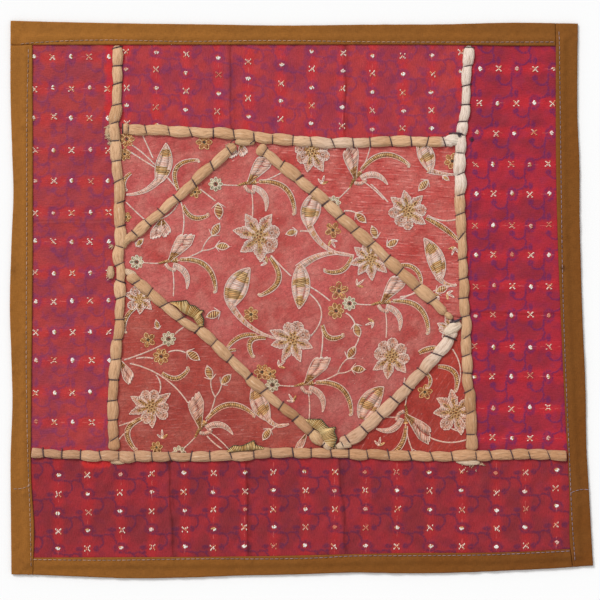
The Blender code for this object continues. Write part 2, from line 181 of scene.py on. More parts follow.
# Seams of the silk, which the cords cover.
LEFT_POST = upright(
    (184, -129), (143, -129), (122, -130), (104, -130), (73, -127.6), (-14, -127.5), (-36, -129),
    (-65, -132.3), (-88, -132), (-111, -130.8),
)
RIGHT_POST = upright(
    (184, 118.2), (162, 116.2), (132, 114), (115, 111.6), (84, 111), (52, 111.5), (34, 113.3), (0, 113.5),
    (-32, 115), (-60, 116.8), (-77, 118.4), (-111, 118.6),
)
TOP_RAIL = level(
    (-132, 120), (-106, 118.6), (-78, 117.2), (-43, 115.4), (-22, 112.6), (0, 111), (20, 109.6),
    (69, 110.9), (112, 110.2),
)
BOTTOM_RAIL = level(
    (-193, -106.4), (-172, -108), (-148, -109.1), (-99, -110), (-57, -109.5), (-27, -108), (-1, -107.2),
    (27, -108), (69, -109.1), (104, -109.9), (139, -108.6), (190, -109.1),
)
DIAMOND_NW = level((-121, 42.3), (-112, 49.9), (-81, 76.7), (-59, 97), (-46.5, 108.4))
DIAMOND_SW = level(
    (-121.5, 17.2), (-110, 8.2), (-90, -9), (-66, -26), (-43, -48.5), (-20, -69.6), (1, -87.2),
    (16, -101.4),
)
DIAMOND_SE = level((27.5, -101.2), (39, -94.4), (61, -75), (88, -46.2), (101, -31), (107.4, -21.2))
DIAMOND_NE = level(
    (-30.5, 106.7), (-20, 99), (2, 81.7), (32, 53.6), (54, 34), (74, 15), (95, -4.2), (102.5, -12),
)
WEST_SPAN = (20, 38)
NORTH_SPAN = (-41, -34)
EAST_SPAN = (-13, -18)
SOUTH_SPAN = (19, 25)

# Creases of the bands: place along the band, slant over its width, height of the fold, depth of its line. The
# deeper ones also get painted shade along their lines.
CREASES = [Crease(*row) for row in (
    ("left", 105, 0, 0.5, 0.1), ("left", 54, 0.02, 0.8, 0.3), ("left", -21, 0, 0.5, 0.1),
    ("left", -67, 0, 0.4, 0.1), ("right", 126, 0, 0.5, 0.1), ("right", 8.5, 0.02, 0.6, 0.2),
    ("right", -11, -0.03, 0.6, 0.5), ("right", -34, 0, 0.3, 0.2), ("right", -54, 0, 0.6, 0.25),
    ("top", -50, -0.02, 0.6, 0.45), ("top", 30, 0, 0.9, 0.7), ("bottom", -92, -0.07, 0.7, 0.6),
    ("bottom", -38, -0.02, 0.6, 0.7), ("bottom", 28.5, -0.08, 0.9, 0.6), ("bottom", 112, 0, 0.4, 0.1),
)]
FOLD_REACH = 5.0
LINE_OFF = 0.8
SHARP_CUT = 0.15
STANDING = ("left", "right")
BAND_MIDDLES = {"left": -158, "right": 150, "top": 147, "bottom": -145}

# Colours of the bands: red, glowing red, deep red and purple, and how clearly their scroll shows.
BAND_COLOURS = {
    "band_left": ("A83838", "BE2C2C", "93333F", "742E58", 0.2),
    "band_top": ("AE3638", "C42A2C", "952F3F", "702C58", 0.2),
    "band_right": ("A62434", "C4242C", "8B2433", "682052", 0.9),
    "band_bottom": ("97272F", "B02426", "7D262D", "60203F", 0.9),
}

# Soft unevenness of the pieced square.
SWELLS = (
    Swell(-62, 18, 26, 0.7), Swell(-20, 62, 22, 0.6), Swell(12, -8, 30, 0.9), Swell(52, -28, 22, 0.6),
    Swell(-8, -52, 20, 0.5), Swell(-98, 92, 18, 0.5), Swell(72, 72, 26, 0.7), Swell(88, -80, 18, 0.6),
    Swell(-92, -66, 24, 0.7), Swell(22, 20, 18, -0.3),
)

# The couched cords. A tie is (place along the cord, slant of the thread from its left to its right end).
CORDS = (
    Cord("cord_left_post", LEFT_POST, 177.7, -105.5, (
        (176.4, 1.2), (163.5, 0.3), (151.2, 1.6), (136.3, 1.5), (123.6, 1.8), (111, 0.2), (97, 0.6),
        (83, 1.8), (67.9, 1.6), (51.1, 1.4), (37, -1.4), (24.6, 2), (12.7, -1.6), (1.3, 1.8),
        (-13.9, 0.4), (-28.1, 0.8), (-41.9, 1.4), (-56.2, 0.2), (-70.8, 0.6), (-84.4, 0.3),
        (-97.7, 2.8))),
    Cord("cord_right_post", RIGHT_POST, 177.4, -105.8, (
        (176.6, 0.4), (163.5, 1.5), (149.8, 1.3), (136.4, 0.6), (124.5, 1), (115.4, -0.3), (102.6, -0.2),
        (87.9, 2), (73.2, 1.6), (59.9, 1.7), (44.7, 4.8), (28.6, 1.4), (14.8, 1.5), (1.1, 0.5),
        (-11.6, 0.9), (-26.3, 3), (-38.9, 1.4), (-51.5, -0.5), (-63.8, 2), (-78.8, 2.2), (-94.4, 0))),
    Cord("cord_top_rail", TOP_RAIL, -125.6, 107, (
        (-125.2, 0.3), (-121.1, 0.5), (-108.9, 1.6), (-92.8, 1.6), (-77.7, 2.2), (-61.6, 0.1),
        (-47.3, 1.2), (-33.3, 1.2), (-20.3, 0.3), (-6, 0), (6.7, 1.6), (22.1, 2.2), (36.1, 0.6),
        (48, 0.2), (62.7, 1.3), (76.7, 0.7), (88.2, -1.2), (99.8, 1.8))),
    Cord("cord_bottom_rail", BOTTOM_RAIL, -188.7, 185.3, (
        (-180.7, 1), (-167.7, 0.2), (-154.6, 0.1), (-140.8, 1.3), (-127.8, 0.4), (-116.7, 0.6),
        (-104.7, 0.6), (-92.1, 1.7), (-77.4, -0.9), (-64.1, 0.3), (-49.4, 1.6), (-33.4, -0.2),
        (-21.4, 0.6), (-6, 0.8), (6.7, 0.2), (20.7, 1), (33.1, 0.2), (46.2, 1), (61.1, 1.2), (76, 1.9),
        (91.1, 1.9), (105.4, 0.9), (122.1, 0.6), (132.5, 1.5), (147.3, 1.6), (159.3, 1.5), (173, 2.1))),
    Cord("cord_diamond_nw", DIAMOND_NW, -121, -46.5, (
        (-116.6, 0.4), (-107.5, 0.3), (-98.4, 0.4), (-87.5, 0.2), (-75.3, -0.8), (-62.7, -1.2),
        (-50.8, -0.6))),
    Cord("cord_diamond_sw", DIAMOND_SW, -121.5, 16, (
        (-115.2, -1.6), (-106.1, 0.6), (-96.3, -1.4), (-84.4, -1.8), (-72.5, -0.6), (-61.3, 0.2),
        (-50.1, 0.3), (-36.8, 0.2), (-26.3, -0.8), (-14.4, 0.4), (-3.9, -0.6), (6.7, 0.2))),
    Cord("cord_diamond_se", DIAMOND_SE, 27.5, 107.4, (
        (32.6, 0.5), (43.8, 0.3), (55, 0.2), (65.5, 0.4), (74.6, 0.4), (84.4, 0.3), (94.9, 1.6),
        (104, 0.6))),
    Cord("cord_diamond_ne", DIAMOND_NE, -30.5, 100.6, (
        (-25.6, 0.2), (-13.7, 0.4), (-1.8, -0.8), (8.1, -0.3), (17.2, -0.5), (27, -0.6), (37.5, -0.8),
        (48.7, -0.7), (59.9, 0.2), (69, 0.3), (80.9, -0.8), (91.4, -0.9))),
)

# Wads of fibre: their course, width, height, foot and paleness.
WADS = (
    (((-118.4, 45.4), (-122, 42.4), (-124.4, 39.8), (-124.6, 35.8)), 6.2, 2.7, 2.3, 0),
    (((-46.4, 110.4), (-32.8, 110.2)), 5.4, 2.2, 2.2, 0.05),
    (((-123.8, 20.5), (-118.5, 17.6), (-114.4, 12.4)), 5.2, 2.4, 2.2, 0.35),
    (((-133.7, 23.4), (-133.4, 14.6)), 5, 2.3, 2.2, 0.1),
    (((100.2, -24.4), (105.6, -20.4), (111.4, -16.4)), 7.6, 3, 2.3, 0.7),
    (((100.2, -9.4), (102.6, -11), (105.6, -13.6)), 4.2, 2.2, 2.2, 0),
    (((-134.4, 122), (-135.9, 118), (-135.5, 113)), 3.2, 1.8, 2.2, 0.1),
    (((15.2, -98.4), (19.8, -105)), 5.4, 2.4, 2.9, 0.3),
    (((6.8, -92.4), (10.2, -96.2), (13.4, -100.6)), 8.6, 3, 2.3, 0),
    (((24.6, -103.2), (30, -101.4), (35, -101.8)), 5.4, 2.2, 2.8, 0.32),
    (((108.4, -113.2), (116, -114.4), (124.8, -114.2)), 3.8, 2, 2.2, 0.5),
    (((-133.6, -113.8), (-124, -114)), 3.2, 1.5, 2.2, 0.2),
    (((100.5, 111.4), (106, 111.8), (112.6, 111.6)), 8, 3.1, 2.3, 1),
)

# Frayed fibre: place, facing and spread in degrees, count, length, and how widely the hairs are strewn.
FRAYS = (
    (-133.4, 120.4, 200, 16, 18, 2.8, 0.8), (-133.8, 117, 192, 16, 22, 3.2, 0.8),
    (-133.6, 113.6, 190, 16, 20, 3, 0.8), (-132.6, 109.8, 195, 16, 14, 2.2, 0.7),
    (-134, 16, 215, 40, 10, 1.8, 1.2), (-132.5, 37, 190, 30, 10, 2.6, 0.8),
    (117, -115.6, 270, 40, 9, 1.5, 2.4), (126, -115, 350, 40, 6, 2.4, 0.8),
    (104, -22, 150, 50, 14, 3, 1.4), (24, -104, 100, 60, 12, 2.4, 2.4), (-50, 108, 200, 40, 8, 2.4, 1),
)

# Thread ends: from, to, bow, height at the ends and in the middle, and width. Knots: place, reach, height.
THREAD_ENDS = (
    (103.4, 116.4, 114.6, 115.8, 0.3, 2.5, 5.6, 0.7), (104, -16.2, 112.6, -12.8, -0.4, 2.5, 4.6, 1.3),
    (99.6, -25.8, 108.6, -28.6, 0.6, 2.5, 5.6, 0.6), (26.8, -98, 29.8, -104.6, 0.2, 2.6, 5.3, 0.5),
    (13.6, -103.2, 18, -98.8, 0.3, 2.6, 5.4, 0.5), (-36.8, 108, -31.2, 112, 0.4, 2.4, 4.9, 0.45),
    (-50.6, 108.6, -45.6, 112.6, 0.3, 2.4, 4.6, 0.45),
)
KNOTS = ((110.4, 114.6, 0.9, 5.3), (119.4, 112, 0.7, 2.5), (106, -15, 1, 3.6), (-134.6, 120.4, 0.6, 3.6))

# Gold satin that lies up over the cords: its outer, toothed edge and its inner one.
SCALLOPS = (
    (((-92.1, -1.8), (-80.4, -0.6), (-78.5, -3.7), (-74.1, -4.6), (-70.5, -7.8), (-68.3, -7.4),
      (-70.5, -10), (-68.3, -13.6), (-68.7, -18.1)),
     ((-86.5, -5.3), (-84.4, -8.1), (-80.9, -10.2), (-78.1, -11.6), (-75.3, -13), (-73.9, -15.8),
      (-71.8, -18.6))),
    (((3.1, -83.7), (13.8, -83.7), (16.9, -87.3), (19.1, -90), (24, -89.1), (22.7, -92.7),
      (24.9, -97.2), (22.7, -103.4)),
     ((4.4, -85.5), (7.5, -89.1), (12, -91.8), (14.6, -97.2), (18.2, -101.6))),
    (((-51.9, -105.6), (-47.8, -102.1), (-41.6, -102.5), (-33.1, -98.5), (-32.7, -101.6), (-26.4, -103.4)),
     ((-49.6, -106.5), (-44.2, -106.1), (-33.5, -105.1), (-27.7, -104.7))),
)

# Where the woven motifs of each band stand: lines of them, where each line starts, and their pitch.
LATTICES = {
    "band_left": Lattice(
        True, (170, 147.7, 127.5, 104.4, 82.9, 60.7, 40.5, 18.6, -1.1, -23.2, -42.7, -65.5, -86, -107),
        (-187, -186.8, -186.8, -186.3, -186.4, -186.4, -186.2, -186.2, -186, -186, -185.9, -185.8, -185.8,
         -185.8), 12.8, 0, 5, 0),
    "band_right": Lattice(
        True, (182.7, 161.4, 137.6, 116.8, 94.5, 73.9, 51.8, 31.3, 9.5, -11.1, -33, -54, -76.2, -97.2),
        (125, 125, 124.6, 123.4, 121.3, 122.1, 121.6, 121.9, 121.9, 121.8, 121.6, 121.3, 121.3, 121.3),
        12.86, -1, 5, 1),
    "band_top": Lattice(
        False, (-122.8, -101.8, -81.1, -58.2, -37.2, -14.4, 6.8, 28.8, 49.6, 71, 91.4, 111.7),
        (173.9, 173.2, 171.1, 169.9, 167.2, 164.1, 161.2, 160.2, 158.1, 157.9, 157.9, 159.9),
        12.74, -2, 5, 1),
    "band_bottom": Lattice(
        False, (-191, -170.4, -149.8, -126.4, -104.8, -81.8, -61.6, -39.8, -19.6, 2.4, 23.1, 45.2, 66.9,
                90, 112.4, 136.5, 156.8, 178.5),
        (-124, -123.5, -123.1, -122.4, -122, -121.7, -121.7, -121.2, -121, -120.9, -120.8, -120.8, -121,
         -121.2, -121.2, -121.8, -121.2, -119), 12.9, 0, 5, 1),
}

# Mean pitch of the lines of motifs, and of the motifs on a line.
LINE_PITCH = 21.4
MOTIF_PITCH = 12.8

# The lines round each band, west, east, south and north, each with how far its motifs keep from it.
CLEAR_OF = {
    "band_left": (LEFT_INNER, 0.5, LEFT_POST, 4, BOTTOM_RAIL, 3, TOP_INNER, 1),
    "band_top": (LEFT_POST, 4, RIGHT_POST, 4, TOP_RAIL, 3, TOP_INNER, 1),
    "band_right": (RIGHT_POST, 4, RIGHT_INNER, 0.5, BOTTOM_RAIL, 3, TOP_INNER, 1),
    "band_bottom": (LEFT_INNER, 1, RIGHT_INNER, 1, BOTTOM_INNER, 1, BOTTOM_RAIL, 3),
}

# The embroidered vine: each place is in the cover's frame, each turn in degrees anticlockwise.
CLUSTERS = (
    (-35.3, 80.8, 0), (-90.6, 26.2, 0), (58.4, -2.8, 0), (4.5, -59.8, 0), (39.5, 85.8, 47),
    (-68.9, -89.2, 47), (72.4, -82.9, -98),
)
FLOWERS = (
    (-29.7, 43.8, 17, 7, 10), (74.5, 61.9, 14.7, 8, 5), (-6.3, -28, 15, 8, 20), (63, -40.2, 15, 8, 35),
    (-105.3, -75.2, 14.7, 9, 0), (48.3, 28.3, 13.6, 8, 12), (7.3, 103.9, 14.7, 8, 25),
    (107.4, -79.4, 15.4, 8, 8), (-113.7, 0.3, 10.5, 7, 15), (104, -20.5, 9.5, 8, 15),
)
GOLD_FLOWERS = (
    (26.2, 5.9, 6.6, 5, 18), (24.1, -8, 5.9, 7, 0), (-98.3, -39.9, 5.9, 7, 10),
    (-107.4, -28.3, 5.2, 5, 40), (22, 48.6, 5.6, 5, 60), (-122.5, 112.3, 5.9, 7, 0),
    (-123.9, 101.8, 4.5, 6, 20), (-35.3, -10.5, 5.2, 6, 30), (-27.6, -50.8, 5.6, 6, 0),
    (105.6, 96.9, 5.6, 6, 15), (-68.2, 110.2, 5.6, 6, 0), (86.4, -64.8, 5.2, 5, 10),
    (-122.8, 57.7, 3.5, 6, 0), (-22, -52.1, 4.5, 5, 30), (-74.5, 75.2, 4.2, 5, 0),
    (-101.5, -103.6, 4.2, 6, 10),
)
GREEN_FLOWERS = ((-93.1, -27.6, 5.6, 8, 0),)
LEAVES = (
    (-100.4, 82.2, -94.8, 109.5, 11.2, -1.6), (-1, 23.4, -1.8, -6.6, 12.6, 1),
    (5.2, 51.4, 12.9, 75.9, 13.3, 2.2), (-49.3, -4.5, -36, 22, 15.4, 2.4),
    (89.9, 90.6, 80.8, 113, 11.2, -1.5), (96.9, 14.3, 85.8, 43, 11.9, -2.4),
    (-23.4, -83.6, -33.2, -59.1, 11.9, 1.6), (42.3, -83.6, 57.7, -61.2, 14, 2),
)
FAN_LEAVES = (
    (-127, -42.5, -119.5, -58, 8), (-49, 109, -48.5, 99.5, 7.5), (-43, 109, -40.5, 101, 7),
    (-98.5, 56.5, -103.5, 42.5, 8), (-97.5, 56.5, -94.5, 44.5, 7.5), (3.8, -93.4, -3, -105, 5),
)
TAILS = (
    (-100.8, 82.9, -122.8, 73.5, 2.7, 5), (-0.6, 23.2, 36.8, 30.4, 5.1, 5.4),
    (5.4, 51.8, 36.8, 30.8, -6.2, 4.8), (-49.3, -4, -15.7, -27.6, -4.6, 4.4),
    (90.6, 90, 107.4, 87.5, -0.7, 4), (96.8, 14.3, 108.8, 10.1, -1.7, 3.8),
    (-23.8, -83.2, -8.8, -87.1, -3.2, 4),
)
SICKLES = (
    (-86.4, 76.6, -72.4, 97.6, 9.5, 3.4), (-82.9, 66.1, -65.5, 58.8, -5.3, 3.6),
    (-119.3, 88.5, -123.5, 76.6, -2.7, 3), (-22.4, 29.7, -29, 2.8, 9.9, 4.2),
    (35.3, 30.1, 16.4, 19.9, 5.3, 3.6), (87.1, 57, 109.5, 41.6, 1.3, 4), (68.2, 23.8, 84, 11.5, 5.1, 3.4),
    (14.7, -17.8, 29, -25.5, -5.6, 3.8), (-97.6, -51.4, -79.1, -48.6, -5.3, 3.6),
    (-110.6, -82.9, -116.5, -105.3, -8.5, 4.2), (95.5, -46.9, 108.1, -64, 6.8, 3.8),
    (-24.8, -26.9, -34.3, -39.9, -7.4, 3.8), (-31.1, -25.2, -51.8, -33.9, -3.7, 3.4),
    (-115.1, -5.2, -124, -22.8, -3.4, 3.2), (-45.8, -35.3, -54.2, -42.3, -2.5, 2.4),
    (82.2, -37.4, 94.1, -33.9, 0.6, 4.2), (85.8, -50.8, 88.5, -61.9, 3.1, 2.6),
)
STEMS = (
    (-111.3, 115.1, -103.9, 99, 0), (-118.6, 108.1, -102.5, 94.1, 0.7), (-122.8, 105.3, -101.8, 92, -0.1),
    (-94.1, 85.8, -87.1, 77.3, 0), (-71, 77.3, -60.2, 68.9, 0.1), (-122.8, 68.2, -110.2, 56.3, -0.2),
    (-86.4, 67.5, -99, 56.3, 1.8), (-84.3, 68.2, -84.3, 41.6, 2), (-21.3, 31.1, -7.3, 16.4, -0.3),
    (-1, 47.9, 6.6, 47.2, 0.4), (29.7, 61.9, 39.5, 59.8, 1.1), (88.2, 59.1, 108.1, 56, -2.1),
    (2.1, 10.8, 19.9, -1, 0.8), (3.1, 5.9, 6.6, -25.5, 9.2), (14.7, -20.6, 13.3, -41.6, 0.7),
    (-10.1, -87.5, -21, -91.3, -1.5), (-88.5, -24.1, -82.2, -19.2, 0.2),
    (-124.2, -42.3, -96.2, -31.1, -0.7), (-115.8, -41.3, -103.9, -41.3, 0.7),
    (-93.1, -36.8, -80.8, -37.4, 1.4), (-120, -44.8, -79.4, -72.4, 5), (-101.8, -52.8, -99.4, -65.5, 1.9),
    (-127.7, -88.5, -113, -84, 0.1), (-128.4, -99, -120, -90.6, 0.5), (89.2, -96.2, 115.1, -98.3, -2.8),
    (105.7, -34.6, 108.1, -64.8, 4.5), (108.1, 10.8, 92, 5.9, 0.4), (68.9, 1.8, 82.6, 5.9, -0.7),
    (31.1, -9.4, 37.4, -17.1, 1), (40.2, -26.9, 36, -34.6, 0.6), (48.6, 80.8, 60.5, 68.2, 0.3),
    (101.8, -87.8, 113.7, -92.8, -1.1), (-110.9, -65.5, -115.8, -71, -0.2),
    (72.4, -54.9, 72.4, -71.8, -0.7), (-66.1, -95.5, -55.6, -104.6, -0.6),
)
BUDS = (
    (-58.4, 67.5, -57.4, 56.3), (-3.1, 47.9, -10.8, 45.8), (38.1, 60.5, 45.1, 53.9),
    (52.5, 43, 49.3, 51.4), (59.8, 37.4, 67.5, 41.6), (88.5, 83.6, 82.2, 76.3),
    (-80.1, -36.4, -71.4, -42.3), (-100.4, -20.6, -101.8, -14.7), (-22, -90.6, -26.9, -98.3),
    (-57, -8.8, -66.5, -12.2), (37.4, -17.1, 40.6, -26.2), (-115.8, 37.4, -110.9, 42.3),
    (94.1, 5.2, 102.5, 8.8), (99, 86.4, 103.2, 83.6),
)
SPRIGS = (
    (14.3, 80.8, 75), (38.8, 9.8, 40), (-24.1, 25.5, 150), (107.4, 36.8, 250), (-16.1, -46.9, 40),
    (101.8, 4.5, -30), (96.2, 2.4, 210), (54.2, -102.5, 80), (20.6, 41.6, 300), (-5.7, -71.6, 120),
    (50.6, -15.8, 200), (-97.4, -97.4, 92),
)


# Lines and grids.
def across(line, along):
    """Place of the smooth curve through a line's rows: a cubic on each span, straight on past its ends."""
    knots, values = line.along, line.across
    slopes = np.gradient(values, knots)
    span = np.clip(np.searchsorted(knots, along) - 1, 0, len(knots) - 2)
    width = knots[span + 1] - knots[span]
    t = np.clip((along - knots[span]) / width, 0.0, 1.0)
    start = (1 + 2 * t) * (1 - t) ** 2 * values[span] + t * (1 - t) ** 2 * width * slopes[span]
    end = t**2 * (3 - 2 * t) * values[span + 1] - t**2 * (1 - t) * width * slopes[span + 1]
    beyond = np.minimum(along - knots[0], 0) * slopes[0] + np.maximum(along - knots[-1], 0) * slopes[-1]
    return start + end + beyond


def points_on(line, along):
    """Points (x, y) of a line at places along it."""
    other = across(line, along)
    return np.stack((other, along) if line.upright else (along, other), axis=1)


def stretch(line, start, end, count=161):
    """Points along a line, from one place on it to another."""
    return points_on(line, np.linspace(start, end, count))


def crossing(up, over):
    """Where an upright line meets a level one, found by turns from one to the other."""
    x = y = 0.0
    for _ in range(8):
        x = float(across(up, y))
        y = float(across(over, x))
    return x, y


def corners_of(west, east, south, north):
    """Where two upright and two level lines meet: south-west, south-east, north-west and north-east."""
    return [crossing(up, over) for over in (south, north) for up in (west, east)]


def soft_step(value):
    """Smooth step of a value from 0 to 1."""
    value = np.clip(value, 0.0, 1.0)
    return value * value * (3 - 2 * value)


def mound(off, reach):
    """A bell curve: 1 at the middle, and e to the minus square of off by reach around it."""
    return np.exp(-((off / reach) ** 2))


def blend(first, second, share):
    """A share of the way from the first to the second."""
    return first + (second - first) * share


def unit(way):
    """Vectors made one long."""
    return way / np.maximum(np.linalg.norm(way, axis=-1, keepdims=True), 1e-9)


def left_of(way):
    """Flat vectors turned a quarter turn to the left."""
    return np.stack((-way[..., 1], way[..., 0]), axis=-1)


def heading(turn):
    """Flat unit vectors at an angle, anticlockwise from +X."""
    return np.stack((np.cos(turn), np.sin(turn)), axis=-1)


def beside(points):
    """Unit vectors to the left of a run of points."""
    return left_of(unit(np.gradient(points, axis=0)))


def lifted(flat, height):
    """Flat points with their heights."""
    heights = np.broadcast_to(np.asarray(height, float)[..., None], (*flat.shape[:-1], 1))
    return np.concatenate((flat, heights), axis=-1)


def along_each(start, end, shares):
    """Points at the same shares of the way from each start to its end."""
    return blend(start[:, None], end[:, None], np.asarray(shares)[None, :, None])


def run_of(points):
    """The run along a polyline to each of its points."""
    return np.concatenate(([0.0], np.cumsum(np.linalg.norm(np.diff(points, axis=0), axis=1))))


def part_way(points, shares):
    """The points at the given shares of a polyline's length."""
    run = run_of(points)
    return np.stack([np.interp(shares * run[-1], run, points[:, axis]) for axis in (0, 1)], axis=1)


def spaced(points, pitch):
    """The run of points again, at about one pitch apart."""
    points = np.array(points, float)
    return part_way(points, np.linspace(0, 1, max(int(round(run_of(points)[-1] / pitch)), 1) + 1))


def arc(start, end, bow, count):
    """Points on the parabola from start to end that stands bow to the left of the straight way."""
    start, end = np.array(start, float), np.array(end, float)
    t = np.linspace(0, 1, count)[:, None]
    return blend(start, end, t) + left_of(unit(end - start)) * bow * 4 * t * (1 - t)


def drawn_in(loop, by):
    """A loop that runs anticlockwise, with each point moved inwards square to its two edges."""
    after = left_of(unit(np.roll(loop, -1, axis=0) - loop))
    before = np.roll(after, 1, axis=0)
    spread = 1 + np.sum(after * before, axis=1, keepdims=True)
    return loop + by * (after + before) / np.maximum(spread, SHARPEST)


def four_sided(south, east, north, west, columns, rows):
    """Grid of points [column, row] between four sides: two ruled surfaces less that of the corners."""
    last_column, last_row = len(columns) - 1, len(rows) - 1
    loop = np.concatenate((
        part_way(south, columns)[:-1], part_way(east, rows)[:-1],
        part_way(north, columns)[:0:-1], part_way(west, rows)[:0:-1],
    ))
    loop = drawn_in(loop, SEAM_GAP / 2)
    corner = np.cumsum((0, last_column, last_row, last_column))
    low = loop[: corner[1] + 1]
    right = loop[corner[1]: corner[2] + 1]
    high = loop[corner[2]: corner[3] + 1][::-1]
    left = np.concatenate((loop[corner[3]:], loop[:1]))[::-1]
    u = columns[:, None, None]
    v = rows[None, :, None]
    ruled = (1 - v) * low[:, None] + v * high[:, None] + (1 - u) * left[None] + u * right[None]
    corners = (1 - u) * ((1 - v) * low[0] + v * high[0]) + u * ((1 - v) * low[-1] + v * high[-1])
    return ruled - corners


def framed(west, east, south, north, columns, rows):
    """Grid between four lines that cross at its corners."""
    sw, se, nw, ne = corners_of(west, east, south, north)
    return four_sided(
        stretch(south, sw[0], se[0]), stretch(east, se[1], ne[1]), stretch(north, nw[0], ne[0]),
        stretch(west, sw[1], nw[1]), columns, rows,
    )


def joined(*parts):
    """One run of points from points and lists of points."""
    return np.concatenate([np.atleast_2d(np.array(part, float)) for part in parts])


def linear(display):
    """Linear colour of a six-digit display colour."""
    shares = np.array([int(display[i: i + 2], 16) for i in (0, 2, 4)]) / 255
    return np.where(shares > 0.04045, ((shares + 0.055) / 1.055) ** 2.4, shares / 12.92)


# The lie of the silk and of the strips.
SW_CORNER, SE_CORNER, NW_CORNER, NE_CORNER = corners_of(LEFT_POST, RIGHT_POST, BOTTOM_RAIL, TOP_RAIL)
SEAMS = np.concatenate([stretch(line, start, end, int(abs(end - start) / 2.5)) for line, start, end in (
    (LEFT_POST, SW_CORNER[1], 178), (RIGHT_POST, SE_CORNER[1], 178), (TOP_RAIL, NW_CORNER[0], NE_CORNER[0]),
    (BOTTOM_RAIL, -188, 187), (DIAMOND_NW, -121, -43), (DIAMOND_SW, -121.5, 18), (DIAMOND_SE, 26, 109),
    (DIAMOND_NE, -33, 104), (LEFT_INNER, -180, 178), (RIGHT_INNER, -175, 178), (TOP_INNER, -188, 178),
    (BOTTOM_INNER, -188, 188),
)])


def ripple(x, y, wavelength, seed, count=16):
    """A smooth random field of about unit strength: a sum of waves in all directions, of like lengths."""
    local = np.random.default_rng(seed)
    total = np.zeros(np.shape(x))
    for turn, stretch_by, phase in local.uniform((0, 0.7, 0), (math.pi, 1.5, 2 * math.pi), (count, 3)):
        wave = 2 * math.pi / (wavelength * stretch_by)
        total += np.sin(wave * (x * math.cos(turn) + y * math.sin(turn)) + phase)
    return total / math.sqrt(count / 2)


def seam_distance(x, y):
    """Distance from each point to the nearest seam."""
    shape = np.shape(x)
    points = np.stack((np.ravel(x), np.ravel(y)), axis=1)
    away = np.empty(len(points))
    for first in range(0, len(points), AT_ONCE):
        some = points[first: first + AT_ONCE]
        away[first: first + AT_ONCE] = np.sqrt(((some[:, None] - SEAMS) ** 2).sum(axis=2)).min(axis=1)
    return away.reshape(shape)


def off_crease(crease, along, over):
    """How far a place is past a crease, along the band; the crease slants with the place over the band."""
    return along - crease.at - (over - BAND_MIDDLES[crease.band]) * crease.slant


def sharp_creases(name):
    """The sharp creases of a band, which are modelled finely and darkened with painted shade along their
    lines.
    """
    return [crease for crease in CREASES if "band_" + crease.band == name and crease.cut > SHARP_CUT]


def silk_face(x, y):
    """Height of the silk's face: held down along its seams, with swells, creases and ripples between them."""
    away = seam_distance(x, y)
    free = soft_step((away - 1.5) / 9)
    height = 0.16 * ripple(x, y, 21, 5) * free + 0.09 * ripple(x, y, 9, 6) * soft_step((away - 0.5) / 4)
    square = (x > across(LEFT_POST, y)) & (x < across(RIGHT_POST, y))
    low, high = y < across(BOTTOM_RAIL, x), y > across(TOP_RAIL, x)
    swelling = sum(s.height * mound(np.hypot(x - s.x, y - s.y), s.reach) for s in SWELLS)
    height += swelling * free * (square & ~low & ~high)
    bands = {
        "left": (x <= across(LEFT_POST, y)) & ~low, "right": (x >= across(RIGHT_POST, y)) & ~low,
        "top": square & high, "bottom": low,
    }
    for crease in CREASES:
        off = off_crease(crease, *((y, x) if crease.band in STANDING else (x, y))) + 0.5 * ripple(x, y, 30, 9)
        fold = crease.height * np.maximum(1 - np.abs(off) / FOLD_REACH, 0) ** 1.3
        line = crease.cut * mound(off - LINE_OFF, 0.75)
        height += (fold * free - line * soft_step(away / 3)) * bands[crease.band]
    return SILK_FACE + height


def strip_fall(x, y):
    """How far the strips have come down from their laps on the silk to their outer edges, from 0 to 1."""
    outside = np.maximum.reduce((
        across(LEFT_INNER, y) - x, x - across(RIGHT_INNER, y),
        y - across(TOP_INNER, x), across(BOTTOM_INNER, x) - y,
    ))
    return soft_step((outside - LAP_FLAT) / LAP_SLOPE)


def strip_face(x, y):
    """Height of the strips' face: their fall from lap to edge, and small ripples."""
    fallen = LAP_LEVEL + CLOTH + (EDGE_LEVEL - LAP_LEVEL) * strip_fall(x, y)
    return fallen + 0.1 * ripple(x, y, 12, 12) + 0.07 * ripple(x, y, 5, 13)


# Meshes.
def make_mesh(name, points, faces, uv=None, colours=None):
    """A mesh from points in millimetres and arrays of faces, each array with one number of corners."""
    mesh = bpy.data.meshes.new(name)
    corners = np.concatenate([array.ravel() for array in faces]).astype(np.int32)
    totals = np.concatenate([np.full(len(array), array.shape[1]) for array in faces])
    mesh.vertices.add(len(points))
    mesh.vertices.foreach_set("co", (points * MM).astype(np.float32).ravel())
    mesh.loops.add(len(corners))
    mesh.loops.foreach_set("vertex_index", corners)
    mesh.polygons.add(len(totals))
    mesh.polygons.foreach_set("loop_start", (np.cumsum(totals) - totals).astype(np.int32))
    mesh.update(calc_edges=True)
    if uv is not None:
        mesh.uv_layers.new(name="cloth").data.foreach_set("uv", uv[corners].astype(np.float32).ravel())
    if colours is not None:
        painted = mesh.color_attributes.new("thread_colour", "FLOAT_COLOR", "POINT")
        opaque = np.column_stack((colours, np.ones(len(colours))))
        painted.data.foreach_set("color", opaque.astype(np.float32).ravel())
    mesh.shade_smooth()
    return mesh


def added(name, data):
    """A new object in the scene."""
    thing = bpy.data.objects.new(name, data)
    bpy.context.scene.collection.objects.link(thing)
    return thing


def put(name, mesh, material, slot, *nodes):
    """A piece of the cover, riding on it, with its finish and the nodes that it stands for."""
    piece = added(name, mesh)
    mesh.materials.append(material)
    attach(piece, "root")
    if nodes:
        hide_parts(*nodes)
    return piece


